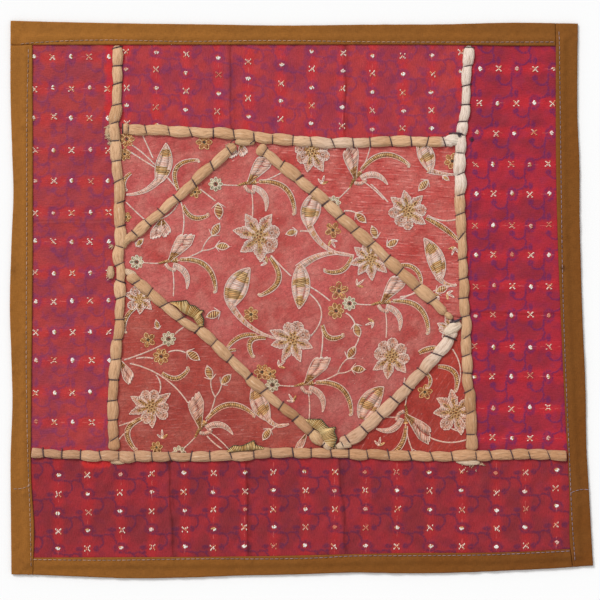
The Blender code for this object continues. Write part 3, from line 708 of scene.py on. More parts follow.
def cloth_mesh(name, grid, top, bottom, uv=None):
    """A closed sheet on a grid [column, row]: a face at the top heights, a back at the bottom, and a rim."""
    columns, rows = grid.shape[:2]
    points = np.concatenate([lifted(grid, height).reshape(-1, 3) for height in (top, bottom)])
    index = np.arange(columns * rows).reshape(columns, rows)
    face = np.stack((index[:-1, :-1], index[1:, :-1], index[1:, 1:], index[:-1, 1:]), axis=-1).reshape(-1, 4)
    back = face[:, ::-1] + columns * rows
    loop = np.concatenate((index[:-1, 0], index[-1, :-1], index[:0:-1, -1], index[0, :0:-1]))
    after = np.roll(loop, -1)
    rim = np.stack((loop, loop + columns * rows, after + columns * rows, after), axis=1)
    uv = grid.reshape(-1, 2) if uv is None else uv
    return make_mesh(name, points, (np.concatenate((face, back, rim)),), np.concatenate((uv, uv)))


def walls_between(index):
    """Faces between each ring of points and the next, from an index [..., ring, point]."""
    near, far = index[..., :-1, :], index[..., 1:, :]
    after = [np.roll(side, -1, axis=-1) for side in (far, near)]
    return np.stack((near, far, *after), axis=-1).reshape(-1, 4)


def round_uv(run, sides):
    """The run along a path and the share round it, for each point of its rings."""
    return np.stack(np.broadcast_arrays(run[..., None], np.arange(sides) / sides), axis=-1).reshape(-1, 2)


def tubes(name, paths, widths, sides, colours, squat=1.0):
    """Joined threads. A ring of points stands round each section of each path, and both ends are closed.

    Paths is [thread, section, xyz], widths [thread, section] and colours [thread, rgb]. Squat is height by
    width.
    """
    count, sections = paths.shape[:2]
    widths = np.broadcast_to(widths, (count, sections))
    ahead = unit(np.gradient(paths, axis=1))
    side = np.cross(ahead, UPWARD)
    side /= np.maximum(np.linalg.norm(side, axis=2, keepdims=True), 1e-6)
    lift = np.cross(side, ahead)
    turned = 0.75 if sides == 3 else 0.5
    angle = (np.arange(sides) + turned) * 2 * math.pi / sides
    reach = widths[:, :, None, None] / 2 / np.abs(np.cos(angle)).max()
    ring = np.cos(angle)[:, None] * side[:, :, None] + squat * np.sin(angle)[:, None] * lift[:, :, None]
    points = paths[:, :, None] + reach * ring
    index = np.arange(count * sections * sides).reshape(count, sections, sides)
    run = np.cumsum(np.linalg.norm(np.diff(paths, axis=1, prepend=paths[:, :1]), axis=2), axis=1)
    return make_mesh(
        name, points.reshape(-1, 3), (walls_between(index), index[:, 0], index[:, -1, ::-1]),
        round_uv(run, sides), np.repeat(colours, sections * sides, axis=0),
    )


def sewn(name, paths, widths, sides, colours, material, slot, squat=1.0):
    """A piece of joined threads."""
    return put(name, tubes(name, paths, widths, sides, colours, squat), material, slot)


# Finishes.
class Value:
    """A number that changes over a surface. Sums on it add maths nodes to its finish."""

    def __init__(self, finish, socket):
        self.finish = finish
        self.socket = socket

    def __add__(self, other):
        return self.finish.math("ADD", self, other)

    __radd__ = __add__

    def __mul__(self, other):
        return self.finish.math("MULTIPLY", self, other)

    __rmul__ = __mul__

    def __sub__(self, other):
        return self.finish.math("SUBTRACT", self, other)

    def __rsub__(self, other):
        return self.finish.math("SUBTRACT", other, self)

    def __truediv__(self, other):
        return self.finish.math("DIVIDE", self, other)

    def __rtruediv__(self, other):
        return self.finish.math("DIVIDE", other, self)

    def __abs__(self):
        return self.finish.math("ABSOLUTE", self)


class Finish:
    """A material being made: a Principled shader and the nodes that feed it."""

    def __init__(self, name, **constants):
        self.material = bpy.data.materials.new(name)
        self.material.use_nodes = True
        self.tree = self.material.node_tree
        self.shader = self.tree.nodes["Principled BSDF"]
        for socket, value in constants.items():
            self.shader.inputs[socket.replace("_", " ").title().replace("Ior", "IOR")].default_value = value

    def node(self, kind, settings=(), **sockets):
        """A node of that type: its settings first, then the values or links of its sockets."""
        made = self.tree.nodes.new(kind)
        for setting, value in dict(settings).items():
            setattr(made, setting, value)
        for name, value in sockets.items():
            position = int(name[1:]) if name[1:].isdigit() else name
            self.feed(made.inputs[position], value)
        return made

    def feed(self, socket, value):
        """Links a value or a socket to a node's input, or sets a number or colour there."""
        if isinstance(value, Value):
            self.tree.links.new(value.socket, socket)
        elif isinstance(value, bpy.types.NodeSocket):
            self.tree.links.new(value, socket)
        elif np.ndim(value) and socket.type == "RGBA":
            socket.default_value = (*value, 1.0)
        else:
            socket.default_value = value

    def math(self, operation, *values):
        """A value from a maths node."""
        return Value(self, self.node(
            "ShaderNodeMath", {"operation": operation}, **{f"_{i}": value for i, value in enumerate(values)},
        ).outputs[0])

    def most(self, first, *values):
        """The largest of some values."""
        for value in values:
            first = self.math("MAXIMUM", first, value)
        return first

    def far(self, x, y):
        """Distance from the place where both measures are 0: the root of the sum of their squares."""
        return self.math("SQRT", x * x + y * y)

    def steps(self, value, low, high, to_low=0.0, to_high=1.0):
        """Smooth step of a value from low to high."""
        return Value(self, self.node(
            "ShaderNodeMapRange", {"interpolation_type": "SMOOTHSTEP"},
            _0=value, _1=low, _2=high, _3=to_low, _4=to_high,
        ).outputs[0])

    def place(self):
        """Millimetres along x, y and z in the cover's frame."""
        parts = self.node("ShaderNodeSeparateXYZ", _0=self.node("ShaderNodeTexCoord").outputs["Object"])
        return [Value(self, parts.outputs[axis]) * 1000 for axis in range(3)]

    def chart(self):
        """The piece's own two surface measures."""
        chart = self.node("ShaderNodeUVMap", {"uv_map": "cloth"}).outputs[0]
        parts = self.node("ShaderNodeSeparateXYZ", _0=chart)
        return Value(self, parts.outputs[0]), Value(self, parts.outputs[1])

    def noise(self, x, y, detail=2.0, rough=0.5, z=0.0):
        """Soft noise, from 0 to 1, of two measures already scaled to its grain."""
        where = self.node("ShaderNodeCombineXYZ", _0=x, _1=y, _2=z).outputs[0]
        made = self.node("ShaderNodeTexNoise", Vector=where, Scale=1.0, Detail=detail, Roughness=rough)
        return Value(self, made.outputs[0])

    def stray(self, x, y, by, detail=1, z=0.0):
        """Noise about 0, times by."""
        return (self.noise(x, y, detail, z=z) - 0.5) * by

    def mix(self, share, first, second):
        """Colour between two colours."""
        made = self.node("ShaderNodeMix", {"data_type": "RGBA"}, _0=share, _6=first, _7=second)
        return made.outputs[2]

    def layered(self, colour, *layers):
        """A colour with others mixed over it in turn; each layer is (share, display colour)."""
        for share, display in layers:
            colour = self.mix(share, colour, linear(display))
        return colour

    def painted(self):
        """The colour of each thread, from its mesh."""
        return self.node("ShaderNodeVertexColor", {"layer_name": "thread_colour"}).outputs[0]

    def lit(self, colour, by):
        """A colour made lighter or darker by a value."""
        grey = self.node("ShaderNodeCombineXYZ", _0=by, _1=by, _2=by).outputs[0]
        return self.node("ShaderNodeVectorMath", {"operation": "MULTIPLY"}, _0=colour, _1=grey).outputs[0]

    def done(self, colour, height=None, depth=0.1):
        """Feeds the shader: its colour, and a bump from a height in millimetres times depth."""
        self.feed(self.shader.inputs["Base Color"], colour)
        if height is not None:
            bump = self.node("ShaderNodeBump", Height=height, Distance=depth * MM, Strength=1.0)
            self.feed(self.shader.inputs["Normal"], bump.outputs[0])
        return self.material


def plain_weave(f, x, y, pitch=0.7):
    """Height of a plain weave: ribs along both ways, each broken up by noise."""
    turn = 2 * math.pi / pitch
    warp = f.math("SINE", x * turn) * f.noise(x / pitch, y / (6 * pitch), 1)
    weft = f.math("SINE", y * turn) * f.noise(x / (6 * pitch), y / pitch, 1, z=7.0)
    return warp + weft


def yarns(f, x, y):
    """Thick and thin yarns both ways: the sum of two noises, each stretched along its yarn."""
    return f.noise(x * 1.9, y * 0.3, 1) + f.noise(x * 0.3, y * 1.9, 1, z=5.0)


def border_cotton():
    """Mustard cotton with a weave, dust and one dark stain, and painted shade that turns it browner to the
    right and the foot.
    """
    f = Finish("border_cotton", roughness=0.95, specular_ior_level=0.12)
    x, y, _ = f.place()
    from_stain = f.far(x - 183.0, y - 22.0) + f.noise(x / 1.6, y / 1.6, 2) * 2.4
    # The first layer is painted shade: the cloth turns browner to the right and the foot as the light falls
    # off.
    colour = f.layered(
        linear("A0682D"), ((x - y * 0.47) * 0.0019 + 0.5, "77461B"),
        (f.steps(f.noise(x / 34, y / 34, 3), 0.35, 0.75, 0.0, 0.35), "845628"),
        (f.steps(f.noise(x / 9, y / 9, 4, z=3.0), 0.56, 0.8, 0.0, 0.35), "643B16"),
        (f.steps(from_stain, 4.6, 1.6) * 0.6, "3C2418"),
    )
    threads = yarns(f, x, y)
    return f.done(f.lit(colour, threads * 0.34 + 0.66), plain_weave(f, x, y) + threads * 1.2)


def back_cotton():
    """Plain mustard cotton for the back."""
    f = Finish("back_cotton", roughness=0.95, specular_ior_level=0.12)
    x, y, _ = f.place()
    colour = f.layered(linear("96652B"), (f.steps(f.noise(x / 40, y / 40, 3), 0.3, 0.7), "875825"))
    threads = yarns(f, x, y)
    return f.done(f.lit(colour, threads * 0.3 + 0.7), plain_weave(f, x, y) + threads)


def stroke(f, off, half, soft=0.35):
    """A drawn line: 1 within half its width of the line, softly 0 past it."""
    return f.steps(abs(off), half + soft, half - soft)


def scroll(f, a, b):
    """The woven scroll round one dot motif, in millimetres along and across from it, and how far it is.

    It is a broken halo, a stem, a hook and a dive, each a stroke along an arc or a straight line, and the
    rounded ends of those of its neighbours.
    """
    x, y, _ = f.place()
    far = f.far(a, b * math.sqrt(1.6))
    halo = stroke(f, far - 4.0, 0.8, 1.2) * f.steps(f.noise(x / 2.1, y / 2.1, 1, z=11.0), 0.4, 0.55)
    stem = stroke(f, b - 3.3 - a * 0.06, 0.65, 0.6) * f.steps(a, 2.0, 3.0)
    hook = stroke(f, f.far(a - 5.4, b - 8.0) - 4.6, 0.7, 0.6) * f.steps(a - 5.4 - (b - 8.0) * 0.35, -0.6, 0.2)
    dive = stroke(f, f.far(a + 9.6, b + 3.2) - 6.5, 0.65, 0.6) * f.steps(b - a * 0.2, -1.9, -2.6)
    edge = MOTIF_PITCH - abs(b)
    ends = f.most(
        f.steps(f.far(a - 5.6, edge), 2.9, 1.3),
        f.steps(f.far((a + 6.0) * math.sqrt(0.6), edge * math.sqrt(1.6)), 2.9, 1.2),
        f.steps(f.far(a + 5.4, b + 9.4), 2.1, 0.8),
    )
    return f.most(halo, stem, hook, dive, ends), far


def band_silk(name):
    """Shot silk: a woven scroll round the motifs, in a chart whose whole numbers are their places.

    Each cell is centred on a dot motif, with a cross motif halfway to the next one on both sides. Painted
    shade darkens it along its sharp creases.
    """
    red, glow, deep, purple, clear = BAND_COLOURS[name]
    f = Finish(name, roughness=0.6, sheen_weight=0.05, sheen_roughness=0.4, specular_ior_level=0.2)
    u, v = f.chart()
    x, y, _ = f.place()
    line = f.math("ROUND", u)
    a = (u - line) * LINE_PITCH
    b = f.math("WRAP", v - line, 1.0, -1.0) * MOTIF_PITCH
    a = a + f.stray(x / 3.2, y / 3.2, 1.1) + f.stray(x * 0.85, y * 0.85, 0.8, z=13.0)
    b = b + f.stray(x / 3.2, y / 3.2, 1.1, z=9.0) + f.stray(x * 0.85, y * 0.85, 0.8, z=14.0)
    drawn, far = scroll(f, a, b)
    threads = f.noise(u * 30, v * 3.5, 1)
    broken = f.steps(threads * 0.5 + f.noise(x * 0.8, y * 0.8, 1, z=5.0), 0.5, 0.84, 0.38, 1.0)
    broad = f.steps(f.noise(x / 24, y / 24, 3), 0.38, 0.62)
    haze = f.steps(f.noise(x / 7.5, y / 7.5, 3, z=4.0), 0.5, 0.66)
    row = f.steps(abs(a) + f.stray(x / 14, y / 14, 10, 2, 2.0), 6.0, 0.5)
    blurred = f.steps(far + f.stray(x / 2.4, y / 2.4, 4, 2, 7.0), 6.6, 3.4) * f.steps(far, 1.4, 2.6)
    beside_post = abs(x + 134.5) + f.stray(x / 5, y / 5, 5, 2, 3.0)
    under_rail = abs(y + 114.6) + f.steps(abs(x + 143.5), 8.0, 13.0) * 6 + f.stray(x / 3, y / 3, 3, 1, 17.0)
    from_spot = f.far(x - 119.2, y - 112.0) + f.noise(x, y, 1, z=18.0) * 1.6
    floats = stroke(f, a, 0.16, 0.2) * f.steps(f.noise(u * 5, v * 2.4, 2, z=6.0), 0.5, 0.62)
    colour = f.layered(
        linear(red), (broad * 0.8, deep), (row * 0.55, glow), (haze * (0.5 - 0.35 * clear), purple),
        (drawn * broken * (0.45 + 0.45 * clear), purple), (blurred * 0.42, purple),
        (f.steps(beside_post, 4.2, 1.2) * f.steps(y, 118.0, 130.0) * 0.6, "D3201E"),
        (f.steps(under_rail, 4.6, 1.8) * 0.6, "D3281E"),
        (f.steps(from_spot, 3.2, 2.2) * 0.75, "421430"), (floats * 0.5, "E27C70"),
    )
    grain = f.noise(x * 1.3, y * 1.3, 2, 0.6, z=12.0)
    colour = f.lit(colour, threads * 0.4 + f.noise(x * 1.4, y * 0.5, 2, z=1.0) * 0.5 + grain * 0.6 + 0.25)
    # Painted shade: each sharp crease darkens the silk along its line, the more the deeper its cut.
    for crease in sharp_creases(name):
        off = off_crease(crease, *((y, x) if crease.band in STANDING else (x, y))) - LINE_OFF
        off = off + f.stray(x / 16, y / 16, 2.4, 2, 15.0)
        dark = f.steps(abs(off), 3.2, 0.2) * f.steps(f.noise(x / 9, y / 9, 1, z=16.0), 0.3, 0.6, 0.3, 1.0)
        colour = f.lit(colour, 1.0 - dark * (0.55 * crease.cut))
    return f.done(colour, threads * 1.4 + f.noise(x * 1.5, y * 1.5, 1, z=8.0) + drawn * 0.5, 0.14)


def centre_silk(name, main, worn, deep, wear, turn, streaks):
    """Coral silk with pale slubs along its weft, rubbed paler in places, and painted shade that darkens it
    towards the foot.
    """
    f = Finish(name, roughness=0.66, sheen_weight=0.05, sheen_roughness=0.4, specular_ior_level=0.2)
    x, y, _ = f.place()
    along = x * math.cos(turn) + y * math.sin(turn)
    over = y * math.cos(turn) - x * math.sin(turn)
    slubs = f.noise(along / 11, over * 0.9, 2)
    specks = f.noise(along / 3.4, over / 1.3, 1, z=8.0)
    fine = f.noise(along / 2.4, over * 1.5, 1, z=3.0)
    mottle = f.noise(x / 13, y / 13, 4, z=1.0)
    grain = f.noise(x / 2.6, y / 2.6, 3, 0.7, z=9.0)
    broad = f.noise(x / 45, y / 45, 2, z=2.0)
    veins = f.steps(abs(f.noise(x / 5.5, y / 5.5, 3, z=6.0) - 0.5), 0.035, 0.0)
    colour = f.layered(
        linear(main), (f.steps(broad + (mottle - 0.5) * 0.5, 0.36, 0.66), deep),
        (f.steps(mottle, 0.38, 0.66) * wear, worn), (f.steps(slubs, 0.56, 0.72) * streaks, "D88C84"),
        (f.steps(slubs, 0.42, 0.3) * streaks, "A0302E"), (f.steps(specks, 0.72, 0.8) * 0.55, "EBC0B4"),
        (veins * 0.3, "A24A44"),
    )
    speckle = f.noise(x * 1.15, y * 1.15, 2, 0.6, z=4.0)
    shade = fine * 0.42 + grain * 0.8 + speckle * 0.9 - 0.06
    # Painted shade: the silk darkens towards the foot of the cover as the light falls off.
    colour = f.lit(colour, shade * f.steps(y, -95.0, 45.0, 0.82, 1.0))
    return f.done(colour, slubs + fine * 0.8 + grain * 2.0 + veins * -0.6, 0.18)


def roving():
    """Unspun tan fibre: fine wavy lines along the cord over its painted tone, the pale ones painted sheen
    highlights.
    """
    f = Finish("roving", roughness=0.85, sheen_weight=0.1, sheen_roughness=0.5, specular_ior_level=0.2)
    s, r = f.chart()
    bend = f.stray(s / 5, r * 2, 1.2, 2, 1.0)
    fibre = f.noise(s / 7, r * 16 + bend, 3, 0.6)
    hair = f.noise(s / 3, r * 40 + bend * 2, 1, z=4.0)
    # The pale streaks along the fibre are painted sheen highlights.
    colour = f.layered(
        f.painted(), (f.steps(fibre, 0.3, 0.52, 0.55, 0.0), "9A6E4A"),
        (f.steps(fibre, 0.56, 0.72) * 0.45, "EED2B2"),
    )
    return f.done(f.lit(colour, hair * 0.3 + 0.86), fibre * 1.6 + hair * 0.6, 0.45)


def thread(name, twist, depth, **constants):
    """Spun thread in its painted colours, with its twist, which also darkens the colour a little as painted
    shade between its plies.
    """
    f = Finish(name, roughness=0.6, **constants)
    run, round_it = f.chart()
    ply = f.math("SINE", (run / twist + round_it) * (2 * math.pi))
    # The twist darkens and lightens the colour a little as painted shade between the plies.
    return f.done(f.lit(f.painted(), ply * 0.08 + 0.95), ply, depth)


def paper():
    """The plain pale floor."""
    f = Finish("floor", roughness=1.0, specular_ior_level=0.0)
    return f.done(np.array((0.93, 0.93, 0.93)))


ROVING = roving()
STITCHING = thread("stitching", 0.8, 0.05)
EMBROIDERY = thread("embroidery_thread", 0.7, 0.06, specular_ior_level=0.15)


# Cloth pieces.
def evenly(length, cell, places=()):
    """Shares of a length at about one cell apart, and closer round some places on it."""
    even = np.linspace(0, length, int(round(length / cell)) + 1)
    close = np.arange(-CREASE_REACH, CREASE_REACH + 0.01, CREASE_CELL)
    for place in places:
        even = even[np.abs(even - place) > CREASE_REACH + 0.2]
    marks = np.concatenate((even, *(place + close for place in places)))
    return np.unique(np.clip(marks, 0, length)) / length


def lay(name, node, grid, top, bottom, material, slot, uv=None, **facts):
    """A sheet of the cover in place of its node. Its area is worked out, and nothing uses it."""
    piece = put(name, cloth_mesh(node, grid, top, bottom, uv), material, slot, node)
    one, two = grid[1:, 1:] - grid[:-1, :-1], grid[:-1, 1:] - grid[1:, :-1]
    area = np.abs(one[..., 0] * two[..., 1] - one[..., 1] * two[..., 0]).sum() / 2


def rounded(away, radius=0.8):
    """How far a folded edge falls at each distance in from it: a quarter round."""
    return radius * (1 - np.sqrt(np.clip(1 - (1 - np.clip(away / radius, 0, 1)) ** 2, 0, 1)))


def chart_of(lattice, grid):
    """Place in the motifs' chart: lines of motifs along one measure, motifs across it."""
    x, y = grid.reshape(-1, 2).T
    along, over = (y, x) if lattice.upright else (x, y)
    lines, starts = np.array(lattice.lines), np.array(lattice.starts)
    order = np.argsort(lines)
    number = np.interp(along, lines[order], order)
    start = np.interp(along, lines[order], starts[order])
    past = np.minimum(along - lines.min(), 0) + np.maximum(along - lines.max(), 0)
    number = number + past / (lines[-1] - lines[0]) * (len(lines) - 1)
    return np.stack((number, (start - over) / lattice.pitch + lattice.odd), axis=1)


def bands():
    """The four silk bands, tucked under the border strips and sewn down along their seams."""
    left_tuck, right_tuck = shifted(LEFT_INNER, -TUCK), shifted(RIGHT_INNER, TUCK)
    top_tuck, bottom_tuck = shifted(TOP_INNER, TUCK), shifted(BOTTOM_INNER, -TUCK)
    rows = (
        ("band_left", left_tuck, LEFT_POST, BOTTOM_RAIL, top_tuck),
        ("band_top", LEFT_POST, RIGHT_POST, TOP_RAIL, top_tuck),
        ("band_right", RIGHT_POST, right_tuck, BOTTOM_RAIL, top_tuck),
        ("band_bottom", left_tuck, right_tuck, bottom_tuck, BOTTOM_RAIL),
    )
    for name, *lines in rows:
        sw, se, nw, _ = corners_of(*lines)
        standing = LATTICES[name].upright
        width, height = se[0] - sw[0], nw[1] - sw[1]
        sharp = [crease.at - (sw[1] if standing else sw[0]) for crease in sharp_creases(name)]
        columns = evenly(width, CELL, () if standing else sharp)
        rows_up = evenly(height, CELL, sharp if standing else ())
        grid = framed(*lines, columns, rows_up)
        lay(
            name + "_silk", name, grid, silk_face(grid[..., 0], grid[..., 1]), SILK_LEVEL, band_silk(name),
            "band_silk", chart_of(LATTICES[name], grid), rests_on=["back_cloth"],
        )


def centre(embroidered):
    """The diamond and its four corners."""
    diagonals = (DIAMOND_NW, DIAMOND_SW, DIAMOND_SE, DIAMOND_NE)
    nw, sw, se, ne = (stretch(line, line.along[0], line.along[-1]) for line in diagonals)
    half = len(nw) // 2
    w, n = stretch(LEFT_POST, *WEST_SPAN, 3), stretch(TOP_RAIL, *NORTH_SPAN, 3)
    e, s = stretch(RIGHT_POST, *EAST_SPAN, 3), stretch(BOTTOM_RAIL, *SOUTH_SPAN, 3)
    pieces = (
        (
            "centre_diamond", 176, ("BC5854", "C67A70", "AE403A", 0.6, 0.5, 0.15),
            joined(w[1], w[0], sw, s[0], s[1]), joined(s[1], s[2], se, e[2], e[1]),
            joined(n[1], n[2], ne, e[0], e[1]), joined(w[1], w[2], nw, n[0], n[1]),
        ),
        (
            "corner_nw", 90, ("BA5250", "C67A70", "AC403C", 0.6, 0.2, 0.25),
            joined(w[2], nw[: half + 1]), joined(nw[half:], n[0]),
            stretch(TOP_RAIL, NW_CORNER[0], n[0][0]), joined(w[2], stretch(LEFT_POST, w[2][1], NW_CORNER[1])),
        ),
        (
            "corner_ne", 110, ("BC504A", "C8766C", "AE3A34", 0.55, -0.05, 0.9),
            joined(n[2], ne[: half + 1]), joined(ne[half:], e[0]),
            stretch(RIGHT_POST, NE_CORNER[1], e[0][1]), stretch(TOP_RAIL, n[2][0], NE_CORNER[0]),
        ),
        (
            "corner_se", 80, ("B03A2E", "B85044", "A43026", 0.35, 1.0, 0.3),
            stretch(BOTTOM_RAIL, s[2][0], SE_CORNER[0]), stretch(RIGHT_POST, SE_CORNER[1], e[2][1]),
            joined(se[half:], e[2]), joined(s[2], se[: half + 1]),
        ),
        (
            "corner_sw", 110, ("AE473C", "BC6A5C", "A23A32", 0.5, 0.05, 0.35),
            stretch(BOTTOM_RAIL, SW_CORNER[0], s[0][0]), joined(sw[half:], s[0])[::-1],
            joined(w[0], sw[: half + 1]), stretch(LEFT_POST, SW_CORNER[1], w[0][1]),
        ),
    )
    for name, size, colours, south, east, north, west in pieces:
        even = evenly(size, CELL)
        grid = four_sided(south, east, north, west, even, even)
        lay(
            name + "_silk", name, grid, silk_face(grid[..., 0], grid[..., 1]), SILK_LEVEL,
            centre_silk(name, *colours), "centre_silk", rests_on=["back_cloth"],
            with_pieces=[embroidered[name]],
        )


def borders():
    """The border strips: a folded inner edge over the silk, a groove at the stitching, soft outer edges."""
    cotton = border_cotton()
    steps = STRIP_STEPS / STRIP_STEPS[-1]
    strips = (
        ("border_left", LEFT_STITCHED, LEFT_EDGE, LEFT_INNER, BOTTOM_EDGE, TOP_INNER),
        ("border_top", TOP_STITCHED, LEFT_EDGE, RIGHT_INNER, TOP_INNER, TOP_EDGE),
        ("border_right", RIGHT_STITCHED, RIGHT_INNER, RIGHT_EDGE, BOTTOM_EDGE, TOP_EDGE),
        ("border_bottom", BOTTOM_STITCHED, LEFT_INNER, RIGHT_INNER, BOTTOM_EDGE, BOTTOM_INNER),
    )
    for name, stitched, *lines in strips:
        sw, se, nw, _ = corners_of(*lines)
        length = nw[1] - sw[1] if stitched.upright else se[0] - sw[0]
        middle = np.linspace(2.5, length - 2.5, int(length / STRIP_CELL))
        along = np.concatenate((STRIP_STEPS[:5], middle, length - STRIP_STEPS[4::-1])) / length
        over = steps if name in ("border_left", "border_bottom") else 1 - steps[::-1]
        grid = framed(*lines, *((over, along) if stitched.upright else (along, over)))
        x, y = grid[..., 0], grid[..., 1]
        run, side = (y, x) if stitched.upright else (x, y)
        puckered = 0.8 + 0.2 * np.cos(2 * math.pi * run / STITCH)
        top = strip_face(x, y) - 0.3 * puckered * mound(side - across(stitched, run), 0.8)
        foot = blend(LAP_FOOT, EDGE_FOOT, strip_fall(x, y))
        from_edge = np.minimum.reduce([
            np.linalg.norm(grid - edge, axis=2) for edge in (grid[:1], grid[-1:], grid[:, :1], grid[:, -1:])
        ])
        top = np.maximum(top - rounded(from_edge), foot + 0.1)
        lay(name + "_cotton", name, grid, top, foot, cotton, "border_cotton", rests_on=["back_cloth"])


def back():
    """The plain back panel, a little inside the border's edge."""
    even = evenly(400, BACK_CELL)
    grid = framed(LEFT_EDGE, RIGHT_EDGE, BOTTOM_EDGE, TOP_EDGE, even, even)
    middle = grid.mean(axis=(0, 1))
    grid = middle + (grid - middle) * (1 - BACK_INSET / 200)
    lay("back_cloth", "back_panel", grid, BACK_FACE, 0.0, back_cotton(), "back_cotton")


# Cords and the threads that hold them.
def cord_places(cord, along):
    """Points on a cord's seam, its direction there and the run along it."""
    points = points_on(cord.route, along)
    return points, unit(np.gradient(points, axis=0)), run_of(points)


def handed(cord):
    """1 where a cord runs the way of its seam's measure, and -1 where it runs against it."""
    return -1 if cord.start > cord.end else 1


def cord_shape(cord, along, v):
    """Width and height shares of a cord over [place, side]: a lens between each two slanting threads."""
    low, high = sorted((cord.start, cord.end))
    marks = np.array(sorted(((low - OPEN_END, 0.0), *cord.ties, (high + OPEN_END, 0.0))))
    leaned = along - np.interp(along, *marks.T) * v * LEAN
    segment = np.clip(np.searchsorted(marks[:, 0], leaned), 1, len(marks) - 1)
    before, after = marks[segment - 1, 0], marks[segment, 0]
    lens = np.sin(math.pi * np.clip((leaned - before) / (after - before), 0, 1)) ** 0.6
    from_end = np.minimum(np.abs(along - cord.start), np.abs(along - cord.end))
    reach, open_by = (1.4, 0.6) if cord.name == "cord_bottom_rail" else (3.2, 0.12)
    ends = np.sqrt(1 - (1 - np.clip(from_end / reach + open_by, 0, 1)) ** 2)
    return (0.76 + 0.24 * lens) * ends, (0.54 + 0.46 * lens) * ends


def girth(cord):
    """Width of a cord: those along the diamond's right sides were laid thicker."""
    return CORD_WIDTH * GIRTHS.get(cord.name, 0.97)


def nudged(cord, along):
    """How far a cord strays from its seam, to the right of its way."""
    return sum((by * mound(along - at, reach) for at, by, reach in STRAYS.get(cord.name, ())), along * 0.0)


def per_segment(cord, along, middle, spread, blur):
    """A random value for each stretch between two threads, softly joined along the cord."""
    places = np.sort([place for place, _ in cord.ties])
    values = chance.normal(middle, spread, len(places) + 1)[np.searchsorted(places, along)]
    window = np.ones(2 * blur + 1) / (2 * blur + 1)
    return np.convolve(np.pad(values, blur, mode="edge"), window, mode="valid")


def bar(points, run, reach, tall, foot, colours):
    """A half-round bar of fibre: a section with a flat foot, carried along points, and closed at both ends.

    Reach, tall and foot are over [place, side of the section]; colours over [place, rgb].
    """
    flat = points[:, None] - beside(points)[:, None] * (reach * SECTION_X)[..., None]
    solid = lifted(flat, foot + tall * SECTION_Z).reshape(-1, 3)
    index = np.arange(len(solid)).reshape(flat.shape[:2])
    caps = np.stack((index[0], index[-1, ::-1]))
    uv = round_uv(run, len(SECTION_X))
    return solid, walls_between(index), caps, uv, np.repeat(colours, len(SECTION_X), axis=0)


def bars_mesh(name, bars):
    """One mesh of several bars."""
    before = np.cumsum([0, *(len(made[0]) for made in bars)])
    solid, uv, colours = (np.concatenate([made[part] for made in bars]) for part in (0, 3, 4))
    walls, caps = (
        np.concatenate([made[part] + first for made, first in zip(bars, before)]) for part in (1, 2)
    )
    return make_mesh(name, solid, (walls, caps), uv, colours)


def paleness(cord, along):
    """Where a cord was laid in paler fibre."""
    if cord.name == "cord_right_post":
        return soft_step((along - 68) / 14)
    if cord.name == "cord_bottom_rail":
        return 0.12 * soft_step(-along / 20)
    if cord.name == "cord_top_rail":
        return np.maximum(soft_step((along - 96) / 5), 0.45 * mound(along - 25, 22))
    if cord.name == "cord_diamond_se":
        return 0.3 + 0.5 * soft_step((along - 84) / 12)
    return np.zeros(len(along))


def couched_cords():
    """Half-round cords with lumps, flat feet and grooves along the fibre, pinched under each thread."""
    for number, cord in enumerate(CORDS):
        finer = 1.3 if "diamond" in cord.name else 1.0
        along = np.linspace(cord.start, cord.end, max(int(abs(cord.end - cord.start) * finer / CORD_STEP), 8))
        points, ahead, run = cord_places(cord, along)
        width, height = cord_shape(cord, along[:, None], handed(cord) * SECTION_X[None])
        thick = per_segment(cord, along, 1.0, 0.085, 2)
        if cord.name == "cord_right_post":
            thick += 0.15 * mound(along - 88, 22) - 0.12 * mound(along - 42, 20)
        shift = per_segment(cord, along, 0.0, 0.22, 3) + 0.2 * ripple(run, run * 0, 16, 40 + number)
        shift += nudged(cord, along)
        groove = 0.0
        for k in (5, 8, 11):
            drift = 1.3 * ripple(run[:, None], run[:, None] * 0, 11, 50 + k)
            groove = groove + 0.035 * np.sin(k * 2 * math.pi * ROUND_IT + drift + k)
        reach = girth(cord) / 2 * width * thick[:, None] * (1 + groove * 0.6)
        tall = CORD_HEIGHT * height * np.clip(thick, 0.9, 1.0)[:, None] * (1 + groove)
        tone = np.clip(per_segment(cord, along, 0.5, 0.22, 1), 0, 1)[:, None]
        colours = blend(linear("C3936B"), linear("E2B792"), tone) * TINTS.get(cord.name, 1.0) * (1, 1, 0.96)
        colours = blend(colours, linear("E8D4C4"), paleness(cord, along)[:, None])
        # Painted shade: the cords darken towards the foot of the cover as the light falls off.
        colours = colours * (1 - np.array((0.19, 0.27, 0.31)) * soft_step(-points[:, 1:] / 110))
        # Painted shade: each cord darkens where a thread pinches it.
        near_tie = np.abs(along[:, None] - np.array([place for place, _ in cord.ties])).min(axis=1)
        colours = colours * (0.8 + 0.2 * soft_step(near_tie / 1.5))[:, None]
        made = bar(points - left_of(ahead) * shift[:, None], run, reach, tall, CORD_FOOT, colours)
        put(cord.name + "_roving", bars_mesh(cord.name, [made]), ROVING, "roving", cord.name)


